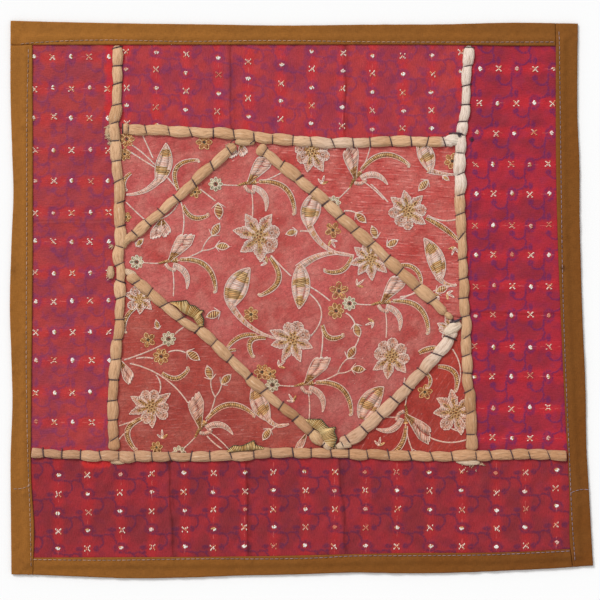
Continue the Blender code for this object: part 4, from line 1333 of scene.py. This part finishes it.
def couching():
    """The dark threads: each goes over its cord in an arch, from cloth to cloth."""
    paths = []
    v = np.linspace(-1.36, 1.36, 15)
    arch = CORD_HEIGHT * 0.57 * (0.14 + 0.86 * np.sqrt(np.clip(1 - np.abs(v) ** 2.6, 0, 1))) + 0.28
    lift = CORD_FOOT + np.where(np.abs(v) < 1, arch, 0.7 - (np.abs(v) - 1) * 2.6)
    for cord in CORDS:
        hand = handed(cord)
        for place, slant in cord.ties:
            base, ways, _ = cord_places(cord, place + hand * np.array((-0.5, 0.0, 0.5)))
            ahead = ways[1]
            right = -left_of(ahead) * hand
            pull = max(abs(ahead[1] if cord.route.upright else ahead[0]), 0.5)
            middle = base[1] + right * hand * nudged(cord, np.array(place))
            for strand in (-0.12, 0.12):
                along = (slant * v * LEAN + chance.normal(0, 0.08) + strand) * hand / pull
                flat = middle + right * (v * girth(cord) / 2 * 0.79)[:, None] + ahead * along[:, None]
                paths.append(lifted(flat, lift))
    shades = chance.uniform(0.75, 1.3, (len(paths), 1)) * linear("4E3436")
    sewn("couching_threads", np.array(paths), 0.54, 6, shades, STITCHING, "roving")


def loose_ends():
    """Short wads of fibre where cords start and end, and frayed hairs beside them."""
    wads = []
    for corners, width, height, foot, pale in WADS:
        points = spaced(corners, 0.8)
        share = np.linspace(0, 1, len(points))[:, None]
        lens = np.sin(math.pi * (0.08 + 0.84 * share)) ** 0.5
        rough = lens * (1 + 0.08 * np.sin(15 * math.pi * ROUND_IT + share * 6))
        tone = blend(linear("CFA67C"), linear("E8D8C6"), pale)
        colours = tone * chance.uniform(0.9, 1.05, (len(points), 1))
        wads.append(bar(points, share[:, 0] * 12, width / 2 * rough, height * rough, foot, colours))
    put("cord_wads", bars_mesh("cord_wads", wads), ROVING, "roving")

    hairs, shades = [], []
    t = np.array(STITCH_PLACES)
    for x, y, facing, spread, count, length, strewn in FRAYS:
        turn = np.radians(facing + chance.uniform(-spread, spread, count))
        seat = np.array((x, y)) + chance.normal(0, 1, (count, 2)) * strewn
        way = heading(turn) * (length * chance.uniform(0.5, 1.2, count))[:, None]
        bend = left_of(way) * chance.uniform(-0.3, 0.3, (count, 1))
        lift = SILK_FACE + chance.uniform(0.25, 1.3, (count, 1))
        flat = along_each(seat, seat + way, t) + bend[:, None] * (4 * t * (1 - t))[:, None]
        hairs.append(lifted(flat, lift + (0.5, 0.4, 0.0)))
        shades.append(chance.uniform(0.75, 1.1, (count, 1)) * linear("DFC09A"))
    sewn("frayed_fibre", np.concatenate(hairs), 0.34, 4, np.concatenate(shades), STITCHING, "roving")


def knots():
    """Dark knots and thick ends of the couching thread."""
    paths, widths = [], []
    hump = np.sin(math.pi * np.linspace(0, 1, 9))
    for x, y, end_x, end_y, bow, low, high, width in THREAD_ENDS:
        flat = arc((x, y), (end_x, end_y), bow, 9)
        for _ in range(2):
            paths.append(lifted(flat + chance.normal(0, 0.15, 2), blend(low, high, hump)))
            widths.append(width * (0.7 + 0.3 * hump))
    for x, y, reach, lift in KNOTS:
        for turn in (0.0, 0.9, 1.9):
            ring = loop_of((x, y), reach * 0.6, turn, 8, 1.5)
            paths.append(lifted(ring, lift + 0.35 * np.sin(np.arange(9) * 1.7 + turn)))
            widths.append(np.full(9, reach * 0.7))
    shades = chance.uniform(0.6, 1.2, (len(paths), 1)) * linear("3E2C34")
    sewn("thread_ends", np.array(paths), np.array(widths), 6, shades, STITCHING, "roving")


def gold_patches():
    """Scalloped edges of gold satin stitch that lie up over the cords, outlined in dark green.

    Each row is laid from its start to its end, with its heights and widths at both ends and in the middle.
    """
    paths, widths, shades = [], [], []
    for corners in SCALLOPS:
        outer, inner = (spaced(edge, 0.2) for edge in corners)
        share = np.linspace(0, 1, int(len(outer) * 0.2 / 1.25))
        twice = np.linspace(0, 1, len(share) * 2)
        rim, seat = part_way(outer, share), part_way(inner, share)
        low_rim, low_seat = part_way(outer, twice), part_way(inner, twice)
        for start, end, heights, wide, palette, low, high, tint in (
            (seat, rim, (5.0, 5.1, 3.9), (0.34, 0.54, 0.5), GOLD, 0.5, 1.0, (1.08, 1.08, 0.95)),
            # Painted shade: this lower row of gold, darkened to half, shows in the gaps between the upper
            # stitches.
            (low_seat, low_rim, (4.6, 4.7, 3.6), 0.7, GOLD, 0.0, 0.1, (0.5, 0.52, 0.44)),
            (rim[:-1], rim[1:], (4.0, 4.2, 4.0), 0.55, DARK, 0.2, 1.0, 1.0),
        ):
            paths.append(lifted(along_each(start, end, STITCH_PLACES), heights))
            widths.append(np.broadcast_to(wide, (len(start), 3)))
            shades.append(tones(palette, len(start), low, high) * tint)
    paths, widths, shades = (np.concatenate(made) for made in (paths, widths, shades))
    sewn("gold_patches", paths, widths, 4, shades, EMBROIDERY, "roving")


# Stitching of the border.
def stitched_border():
    """Lines of short raised stitches with small gaps, sunk at both ends."""
    rows = []
    for line in (LEFT_STITCHED, TOP_STITCHED, RIGHT_STITCHED, BOTTOM_STITCHED):
        points = stretch(line, line.along[0], line.along[-1], 400)
        rows.append((points, int(run_of(points)[-1] / STITCH), 0.14))
    rows += [(arc(start, end, bow, 30), 4, 0.1) for start, end, bow in CROSS_SEAMS]
    flat = []
    t = np.linspace(0, 1, 5)
    for points, count, gap in rows:
        marks = part_way(points, np.linspace(0, 1, count + 1))
        flat.append(along_each(marks[:-1], marks[1:], blend(gap, 1 - gap, t)))
    flat = np.concatenate(flat)
    lift = strip_face(flat[..., 0], flat[..., 1]) - 0.22 + 0.5 * np.sin(math.pi * t) ** 0.7
    cool = soft_step((flat[:, 2, 0] - flat[:, 2, 1] * 0.6) / 260 + 0.35)[:, None]
    shades = blend(linear("B8947E"), linear("988086"), cool) * chance.uniform(0.6, 1.2, (len(flat), 1))
    sewn("top_stitches", lifted(flat, lift), 0.44, 6, shades, STITCHING, "border_cotton")


# Woven motifs of the bands.
def woven_motifs():
    """Crosses and dots of the bands, each charted as short floats of thread side by side."""
    cross = [(row * 0.82, side * 0.78 * abs(row), 1.15) for row in (-2, -1, 1, 2) for side in (-1, 1)]
    cross += [(0.0, 0.0, 1.3)]
    dot = [(row * 0.62, off * 0.9, long * 0.88) for row, off, long in (
        (-2, 0.1, 1.3), (-1, -0.5, 1.6), (-1, 0.6, 1.4), (0, -0.7, 1.6), (0, 0.6, 1.6), (1, -0.5, 1.5),
        (1, 0.5, 1.5), (2, 0.0, 1.4),
    )]
    for name, lattice in LATTICES.items():
        starts, ends, colours = [], [], []
        for number, (line, first) in enumerate(zip(lattice.lines, lattice.starts)):
            for place in range(lattice.first, lattice.last):
                over = first + place * lattice.pitch * (1 if lattice.upright else -1)
                parity = (number + place + lattice.odd) % 2
                middle = np.array((over, line) if lattice.upright else (line, over))
                middle = middle + chance.normal(0, 0.35, 2)
                if not on_band(name, *middle):
                    continue
                faded = chance.uniform(0, 1) ** 4
                for row, off, long in cross if parity else dot:
                    if chance.uniform() < 0.06:
                        continue
                    seat = np.array((off, row)) + chance.normal(0, 0.12, 2)
                    tip = np.array((long * 0.5, 0))
                    if not lattice.upright:
                        seat, tip = seat[::-1], tip[::-1]
                    starts.append(middle + seat - tip)
                    ends.append(middle + seat + tip)
                    if parity:
                        tone = "EFA07A" if chance.uniform() < 0.3 else "FBE3D2"
                    else:
                        tone = "D6AE78" if off > 0 and chance.uniform() < 0.5 else "FFFBF4"
                    colours.append(blend(linear(tone), linear("D88068"), faded))
        start, end = np.array(starts), np.array(ends)
        tall = silk_face(*((start + end) / 2).T)[:, None] + (0.0, 0.34, 0.0)
        paths = lifted(along_each(start, end, STITCH_PLACES), tall)
        widths = 0.82 * np.array((0.6, 1.0, 0.6))
        sewn(name + "_motifs", paths, widths, 4, np.array(colours), EMBROIDERY, "band_silk", 0.6)


def on_band(name, x, y):
    """Whether a place lies on that band, clear of its seams."""
    west, off_west, east, off_east, south, off_south, north, off_north = CLEAR_OF[name]
    in_height = across(south, x) + off_south < y < across(north, x) - off_north
    return in_height and across(west, y) + off_west < x < across(east, y) - off_east


# Embroidery.
CREAM = (linear("DEA692"), linear("FFDAC8"), linear("FFF0E6"))
BLUSH = (linear("B8745C"), linear("E8AE94"), linear("FFDCC8"))
GOLD = (linear("764628"), linear("CE9A5E"), linear("F4D4A2"))
GREEN = (linear("78745A"), linear("E0D0B0"), linear("FFF6E4"))
DARK = (linear("2A322C"), linear("444A3C"), linear("6A6A50"))

# Half width of a petal at shares of its length.
POINTED = ((0, 0.3, 0.5, 0.6, 0.68, 0.8, 0.86, 1), (0.4, 0.85, 1.0, 0.98, 0.66, 0.56, 0.34, 0.0))
RUFFLED = ((0, 0.3, 0.55, 0.75, 0.9, 1), (0.36, 0.66, 1.0, 1.0, 0.72, 0.2))


def tones(palette, count, low=0.15, high=0.95):
    """Random colours of a palette, from its dark end to its light one."""
    share = chance.uniform(low, high, (count, 1)) * 2
    dark, middle, light = palette
    return np.where(share < 1, blend(dark, middle, share), blend(middle, light, share - 1))


class Needlework:
    """Stitches laid so far: start, end, width, lift and colour of each, and the piece of silk it is on."""

    def __init__(self):
        self.rows = []
        self.ground = 0

    def lay(self, start, end, width, lift, colours):
        """Straight stitches."""
        start, end = np.atleast_2d(start), np.atleast_2d(end)
        rows = np.empty((len(start), 10))
        rows[:, 0:2], rows[:, 2:4] = start, end
        rows[:, 4], rows[:, 5] = width, lift
        rows[:, 6:9] = colours
        rows[:, 9] = self.ground
        self.rows.append(rows)

    def running(self, points, width, palette, lift=0.0, pitch=0.8, low=0.3):
        """One thread couched along a line."""
        marks = spaced(points, pitch)
        over = (marks[1:] - marks[:-1]) * 0.1
        self.lay(marks[:-1] - over, marks[1:] + over, width, lift, tones(palette, len(over), low, 1.0))

    def rope(self, points, half, palette, lift=0.12, pitch=0.75, low=0.25):
        """A twisted cord: short slanting stitches, light and dark by chance."""
        marks = spaced(points, pitch)
        side = beside(marks) * half
        shades = tones(palette, len(marks) - 1, low, 1.0)
        self.lay((marks - side)[:-1], (marks + side)[1:], 0.66, lift, shades)

    def edged(self, left, right, half, lift, low):
        """A cream rope along each of two edges."""
        for edge in (left, right):
            self.rope(edge, half, CREAM, lift, 0.8, low)

    def filled(self, left, right, ground, lines, lift=0.08, thin=0.42):
        """Satin from edge to edge in the ground's colours, with thin slanting lines over every other one."""
        self.lay(left[:-1], right[1:], 0.8, lift, ground[:-1])
        self.lay(left[:-3:2], right[3::2], thin, lift + 0.2, lines[:-3:2])


def stem(work, start, end, bow, half=0.5, count=30):
    """A bowed stem of cream rope."""
    work.rope(arc(start, end, bow, count), half, CREAM)


def sickle(work, start, end, bow, width):
    """A curved band of gold and brown beads between cream edges, narrow at its foot, with a small hook."""
    points = arc(start, end, bow, 60)
    ahead = unit(points[-1] - points[-3])
    bent = ahead * 0.4 - left_of(ahead) * np.sign(bow) * 0.9
    points = spaced(np.concatenate((points, [points[-1] + bent, points[-1] + bent * 1.9])), SATIN)
    t = np.linspace(0, 1, len(points))
    side = beside(points) * (width * 0.36 * np.sin(math.pi * (0.12 + 0.84 * t)) ** 0.5)[:, None]
    work.lay((points + side)[:-1], (points - side)[1:], 0.8, 0.06, tones(GOLD, len(t) - 1, 0.0, 0.22))
    near, far = (points + side * 0.75)[1:-1:2], (points - side * 0.75)[2::2]
    work.lay(near, far, 0.78, 0.3, tones(GOLD, len(far), 0.4, 1.0))
    work.rope(points + side * 1.2, 0.14, CREAM, 0.2, 0.8, 0.45)
    work.rope(points - side * 1.2, 0.12, BLUSH, 0.16, 0.8, 0.4)
    work.rope(points[int(len(points) * 0.86):], 0.3, CREAM, 0.34)


def cream_sickle(work, start, end, bow, width):
    """A curved tapering leaf in slanting cream stitches, speckled brown, with a bright outer edge."""
    points = spaced(arc(start, end, bow, 60), SATIN)
    t = np.linspace(0, 1, len(points))
    side = beside(points) * (width * 0.42 * np.sin(math.pi * (0.24 + 0.74 * t)) ** 0.9)[:, None]
    work.filled(points + side, points - side, tones(CREAM, len(t), 0.25, 1.0), tones(BLUSH, len(t), 0.0, 0.6))
    work.rope(points + side, 0.15, CREAM, 0.25, 0.8, 0.5)
    work.rope(points - side, 0.12, CREAM, 0.2, 0.8, 0.3)


def tail(work, start, end, bow, wide):
    """A stem that swells towards its leaf: speckled slanting stitches between two bright cream edges."""
    points = arc(start, end, bow, 60)
    points = spaced(np.concatenate(([points[0] + unit(points[0] - points[1]) * 2.5], points)), SATIN)
    t = np.linspace(0, 1, len(points))[:, None]
    side = beside(points) * (0.42 + (wide / 2 - 0.42) * (1 - t) ** 1.15)
    golden = chance.uniform(size=(len(t), 1)) < 0.35 * (1 - t)
    mixed = np.where(golden, tones(GOLD, len(t), 0.2, 0.8), tones(CREAM, len(t), 0.2, 0.9))
    work.filled(points + side, points - side, mixed, tones(BLUSH, len(t), 0.0, 0.7), 0.04)
    work.edged(points + side, points - side, 0.15, 0.16, 0.45)


def striped_leaf(work, base, tip, width, bow):
    """A leaf to a long point, hatched across: gold ovals down its middle, speckled cream round them.

    Half its width is width/2 times the sine of pi (0.06 + 0.94 t) ^ 0.92, to the power 0.8, at the share t.
    """
    points = spaced(arc(base, tip, bow, 60), SATIN)
    t = np.linspace(0, 1, len(points))
    half = width / 2 * np.sin(math.pi * (0.06 + 0.94 * t) ** 0.92) ** 0.8
    side = beside(points) * half[:, None]
    phase = chance.uniform(0.3, 0.7)
    for near, far, above in ((1.0, 0.5, 0.55), (0.56, -0.56, 0.0), (-0.5, -1.0, 0.55)):
        zone = np.sin(2 * math.pi * (2.2 * t + phase + chance.normal(0, 0.03, len(t))))
        golden = (zone > above)[:, None]
        ground = np.where(golden, tones(GOLD, len(t), 0.45, 1.0), tones(CREAM, len(t), 0.3, 1.0))
        lines = np.where(golden, tones(GOLD, len(t), 0.0, 0.15), tones(BLUSH, len(t), 0.1, 0.9))
        work.filled(points + side * near, points + side * far, ground, lines, 0.1, 0.36)
    work.edged(points + side, points - side, 0.18, 0.34, 0.5)


def fan_leaf(work, base, tip, width):
    """A leaf that opens from a narrow gold foot, with teeth from a short left corner to a long right one."""
    base = np.array(base)
    length = np.linalg.norm(np.array(tip) - base)
    way = unit(np.array(tip) - base)
    count = max(int(length / SATIN), 8)
    s = np.linspace(0, 1, count)[:, None]
    opened = width / 2 * (0.14 + 0.86 * np.sin(math.pi / 2 * s) ** 1.3)
    inward = width * 0.24 * np.clip((s - 0.72) / 0.28, 0, 1)
    left = base + way * (length * 0.74 * s) + left_of(way) * opened
    right = base + way * (length * 1.04 * s) - left_of(way) * (opened - inward)
    golden = s < 0.34
    ground = np.where(golden, tones(GOLD, count, 0.25, 0.9), tones(CREAM, count, 0.25, 1.0))
    lines = np.where(golden, tones(GOLD, count, 0.0, 0.15), tones(BLUSH, count, 0.0, 0.7))
    middle = (left + right) / 2 + way * chance.normal(0, 0.3, (count, 1))
    work.filled(left, middle, ground, lines, 0.08, 0.46)
    work.filled(middle, right, ground, np.roll(lines, 1, axis=0), 0.1, 0.46)
    work.edged(left[2:], right[2:], 0.16, 0.26, 0.4)
    rim = blend(left[-1], right[-1], np.linspace(0, 1, 8)[:, None])
    rim[1:-1] += way * np.where(np.arange(1, 7) % 2, 1.3, -0.5)[:, None]
    work.lay(rim[:-1], rim[1:], 0.72, 0.3, tones(CREAM, 7, 0.5, 1.0))
    work.lay(rim[1:-1:2] - way * 2.2, rim[1:-1:2], 0.7, 0.2, tones(CREAM, len(rim[1:-1:2]), 0.3, 1.0))


def loop_of(middle, reach, turn=0.0, count=8, long=1.0):
    """Points of a closed ring, longer along its turn."""
    ahead = heading(turn)
    x, y = heading(np.linspace(0, 2 * math.pi, count + 1)).T[..., None] * reach
    return np.array(middle) + x * long * ahead + y * left_of(ahead)


def petal(work, base, tip, half, pointed):
    """A ruffled petal in speckled satin from its spine to a toothed cream edge, with a coiled or long eye."""
    points = spaced(arc(base, tip, chance.normal(0, 0.4), 40), 0.7)
    t = np.linspace(0, 1, len(points))
    open_by = np.interp(t, *(POINTED if pointed else RUFFLED))
    side = beside(points)
    for leg in (-1, 1):
        teeth = 1 + 0.16 * np.cos(math.pi * np.arange(len(t)) * 0.8 + chance.uniform(0, 6)) * (t > 0.3)
        edge = points + side * (leg * half * open_by * teeth)[:, None]
        seat = points + left_of(side) * 0.9
        middle = blend(seat, edge, 0.5)
        foot = np.where((t < 0.4)[:, None], tones(GOLD, len(t), 0.2, 1.0), tones(BLUSH, len(t), 0.1, 1.0))
        work.lay(seat, middle, 0.74, 0.08, foot)
        work.lay(middle - (edge - seat) * 0.12, edge, 0.74, 0.16, tones(CREAM, len(t), 0.25, 1.0))
        work.lay(blend(seat, edge, 0.3)[1::2], edge[1::2], 0.36, 0.34, tones(BLUSH, len(t[1::2]), 0.0, 0.7))
        work.rope(edge[2:], 0.2, CREAM, 0.34, 0.8, 0.55)
    way = tip - base
    facing = math.atan2(way[1], way[0])
    eye = base + way * (0.42 if pointed else 0.56)
    if pointed:
        work.running(loop_of(eye, half * 0.34, facing, 4, 2.0), 0.55, GOLD, 0.46)
        work.lay(eye - way * 0.1, eye + way * 0.12, 0.55, 0.44, tones(GOLD, 1, 0.0, 0.1))
    else:
        work.running(loop_of(eye, half * 0.5, facing, 9), 0.5, BLUSH, 0.42, low=0.0)
        work.running(loop_of(eye, half * 0.3, facing, 7), 0.5, CREAM, 0.46)
        work.lay(eye - way * 0.03, eye + way * 0.03, 0.7, 0.4, tones(GOLD, 1, 0.0, 0.1))


def flower(work, middle, reach, petals, turn):
    """A flower of ruffled cream petals, some of them pointed, round a heart of coiled gold."""
    middle = np.array(middle)
    for number in range(petals):
        ahead = heading(math.radians(turn + number * 360 / petals + chance.uniform(-8, 8)))
        pointed = chance.uniform() < 0.5
        long = reach * chance.uniform(0.86, 1.0) * (1.14 if pointed else 0.93)
        half = reach * (1.75 if pointed else 2.0) / petals * chance.uniform(0.9, 1.12)
        petal(work, middle + ahead * reach * 0.14, middle + ahead * long, half, pointed)
    for number in range(12):
        angle, far = number * 2.4, reach * 0.3 * math.sqrt((number + 0.4) / 12)
        seat = middle + far * heading(angle)
        work.lay(seat - 0.5, seat + 0.5, 0.9, 0.42, tones(GOLD, 1, 0.0, 0.15))
        work.running(loop_of(seat, reach * 0.07, angle, 6, 1.2), 0.52, GOLD, 0.52, low=0.45)


def rosette(work, middle, reach, petals, turn, palette):
    """A small flower of looped petals round a dark knot."""
    middle = np.array(middle)
    wide = reach * min(0.3, 1.9 / petals * 0.95)
    for number in range(petals):
        facing = math.radians(turn + number * 360 / petals)
        ahead = heading(facing)
        seat = middle + ahead * reach * 0.62
        for leg in (-1, 1):
            tip = seat + ahead * wide * 0.9 + left_of(ahead) * wide * 0.35 * leg
            work.lay(middle + ahead * reach * 0.2, tip, 0.8, 0.08, tones(palette, 1, 0.1, 0.5))
        work.running(loop_of(seat, wide, facing, 8, 1.3), 0.68, palette, 0.22, 0.9, 0.4)
    work.running(loop_of(middle, reach * 0.13, 0.0, 5), 0.62, DARK, 0.35)


def bud(work, start, end):
    """A small bud: a slanting gold heart in a thin cream edge, with two pointed sepals at its foot."""
    start, end = np.array(start), np.array(end)
    way = end - start
    length = np.linalg.norm(way)
    ahead = unit(way)
    side = left_of(ahead)
    for leg in (-1, 1):
        work.rope(arc(start, end, leg * length * 0.26, 20), 0.26, CREAM, 0.25, 0.75, 0.4)
        sepal = start + way * 0.3 + leg * length * 0.44 * side
        work.lay(start - ahead * 0.4, sepal, 0.62, 0.2, tones(CREAM, 1, 0.5, 1))
    for number, share in enumerate(np.linspace(0.08, 0.86, 11)):
        wide = length * 0.23 * math.sin(math.pi * share**0.8) + 0.15
        at = start + way * share
        width, lift, low, high = (0.34, 0.26, 0.05, 0.5) if number % 2 else (0.85, 0.12, 0.4, 1.0)
        near, far = at - side * wide - ahead * 0.7, at + side * wide + ahead * 0.9
        work.lay(near, far, width, lift, tones(GOLD, 1, low, high))
    work.lay(end - ahead * 1.6, end + ahead * 0.8, 0.55, 0.2, tones(CREAM, 1, 0.5, 1.0))


def sprig(work, at, turn):
    """Three small leaflets on a foot."""
    at = np.array(at)
    for leg, long, palette in ((-52, 4.6, GOLD), (0, 6.2, CREAM), (50, 4.6, CREAM)):
        tip = at + long * heading(math.radians(turn + leg))
        for side in (-1, 1):
            work.running(arc(at, tip, side * 0.55, 12), 0.75, palette, 0.15, 1.5)


def cluster(work, at, turn):
    """The repeat of the vine: a fan leaf, a gold and a cream sickle, a green flower, stems and two buds."""
    ahead = heading(math.radians(turn))

    def to(x, y):
        return np.array(at) + x * ahead + y * left_of(ahead)

    fan_leaf(work, to(-2.5, 0.0), to(13.0, 20.0), 11.5)
    sickle(work, to(5.5, 1.6), to(30.5, -20.5), 8.8, 4.0)
    cream_sickle(work, to(0.8, -2.0), to(10.2, -19.0), 4.6, 4.6)
    for start, end, bow in (
        ((-8.0, -0.8), (-20.5, -0.3), 0.3), ((0.2, -4.0), (0.8, -24.0), 0.7), ((3.0, 0.8), (21.5, 8.2), -0.8),
        ((21.0, 8.0), (28.5, 19.0), 1.2), ((21.5, 8.2), (31.0, 11.0), -0.8),
    ):
        stem(work, to(*start), to(*end), bow, 0.42, 24)
    for start, end, bow, opened, palette, lines, lift in (
        ((-9.5, -1.0), (4.0, 1.4), 0.6, (0.6, 1.8), GOLD, (GOLD, 0.0, 0.2), 0.1),
        ((-4.5, -1.0), (2.5, -5.5), -1.6, (1.3, 1.3), CREAM, (BLUSH, 0.1, 0.5), 0.14),
    ):
        foot = spaced(arc(to(*start), to(*end), bow, 20), SATIN)
        count = len(foot)
        side = beside(foot) * np.linspace(*opened, count)[:, None]
        ground = tones(palette, count, 0.2, 0.9)
        work.filled(foot + side, foot - side, ground, tones(lines[0], count, *lines[1:]), lift)
    bud(work, to(28.0, 18.5), to(33.2, 27.0))
    bud(work, to(30.6, 11.2), to(40.0, 10.8))
    rosette(work, to(-24.8, 0.0), 5.4, 8, turn, GREEN)


def silk_piece(x, y):
    """Number of the piece of the square at each place: 0 the diamond, 1 to 4 its corners, -1 none."""
    found = np.zeros(np.shape(x), int)
    found = np.where(y > across(DIAMOND_NW, x), 1, found)
    found = np.where(y > across(DIAMOND_NE, x), 2, found)
    found = np.where(y < across(DIAMOND_SE, x), 3, found)
    found = np.where(y < across(DIAMOND_SW, x), 4, found)
    inside = (x > across(LEFT_POST, y)) & (x < across(RIGHT_POST, y))
    inside &= (y > across(BOTTOM_RAIL, x)) & (y < across(TOP_RAIL, x))
    return np.where(inside, found, -1)


def embroider():
    """The whole vine, each motif kept to the piece of silk that it was worked on before that was cut."""
    work = Needlework()

    def on(x, y):
        work.ground = int(silk_piece(np.array(x), np.array(y)))

    def at_places(make, rows, *palette):
        """Motifs that stand at one place."""
        for x, y, *facts in rows:
            on(x, y)
            make(work, (x, y), *facts, *palette)

    def between_ends(make, rows, share=0.5):
        """Motifs that reach from one place to another, on the silk that lies that share of the way along."""
        for x, y, end_x, end_y, *facts in rows:
            on(blend(x, end_x, share), blend(y, end_y, share))
            make(work, (x, y), (end_x, end_y), *facts)

    at_places(cluster, CLUSTERS)
    at_places(flower, FLOWERS)
    at_places(rosette, GOLD_FLOWERS, GOLD)
    at_places(rosette, GREEN_FLOWERS, GREEN)
    between_ends(striped_leaf, LEAVES)
    between_ends(fan_leaf, FAN_LEAVES, 1.0)
    between_ends(sickle, SICKLES)
    between_ends(tail, TAILS)
    between_ends(stem, STEMS)
    between_ends(bud, BUDS)
    at_places(sprig, SPRIGS)

    rows = np.concatenate(work.rows)
    middle = (rows[:, 0:2] + rows[:, 2:4]) / 2
    stitched = np.linalg.norm(rows[:, 2:4] - rows[:, 0:2], axis=1) > 0.15
    kept = stitched & (silk_piece(*middle.T) == rows[:, 9])
    rows, middle = rows[kept], middle[kept]
    speckled = np.clip(1.2 + 0.22 * ripple(*middle.T, 1.5, 77), 0.7, 1.45)[:, None]
    # Painted shade: the threads darken towards the foot of the cover as the light falls off.
    rows[:, 6:9] *= speckled * (1 - np.array((0.08, 0.17, 0.23)) * soft_step((20 - rows[:, 1:2]) / 110))
    made = {}
    for number, name in enumerate(("centre_diamond", "corner_nw", "corner_ne", "corner_se", "corner_sw")):
        some = rows[rows[:, 9] == number]
        start, way = some[:, 0:2], some[:, 2:4] - some[:, 0:2]
        end = start + unit(way) * np.maximum(np.linalg.norm(way, axis=1, keepdims=True), 0.5)
        height = silk_face(*((start + end) / 2).T) + some[:, 5]
        paths = lifted(along_each(start, end, STITCH_PLACES), height[:, None] + (-0.06, 0.12, -0.06))
        shades = some[:, 6:9] / np.maximum(some[:, 6:9].max(axis=1, keepdims=True), 1.0)
        widths = some[:, 4:5] * (0.78, 1.08, 0.78)
        made[name] = sewn(name + "_embroidery", paths, widths, 3, shades, EMBROIDERY, "centre_silk", 0.32)
    return made


# The floor, the lights and the camera.
def studio():
    """A plain pale floor, soft light from all round, a wide window at the left, and a camera from above."""
    corners = FLOOR_REACH * np.array(((-1, -1, 0), (1, -1, 0), (1, 1, 0), (-1, 1, 0)))
    floor = make_mesh("floor", corners, (np.array(((0, 1, 2, 3),)),))
    floor.materials.append(paper())
    added("floor", floor)
    world = bpy.data.worlds.new("soft_light")
    world.use_nodes = True
    world.node_tree.nodes["Background"].inputs[0].default_value = (1.0, 1.0, 1.0, 1.0)
    world.node_tree.nodes["Background"].inputs[1].default_value = 0.62
    bpy.context.scene.world = world
    sun = bpy.data.lights.new("window", "SUN")
    sun.energy = 2.2
    sun.angle = math.radians(18)
    added("window", sun).rotation_euler = (math.radians(-38), math.radians(-38), 0.0)
    lens = bpy.data.cameras.new("camera")
    lens.lens = LENS
    lens.sensor_width = FILM
    lens.clip_end = 10
    camera = added("camera", lens)
    camera.location = (-0.00105, -0.00035, SEEN * LENS / FILM + 0.003)
    bpy.context.scene.camera = camera
    view = bpy.context.scene.view_settings
    view.view_transform = "Standard"
    view.look = "None"


back()
borders()
bands()
centre(embroider())
woven_motifs()
couched_cords()
couching()
loose_ends()
knots()
gold_patches()
stitched_border()
studio()
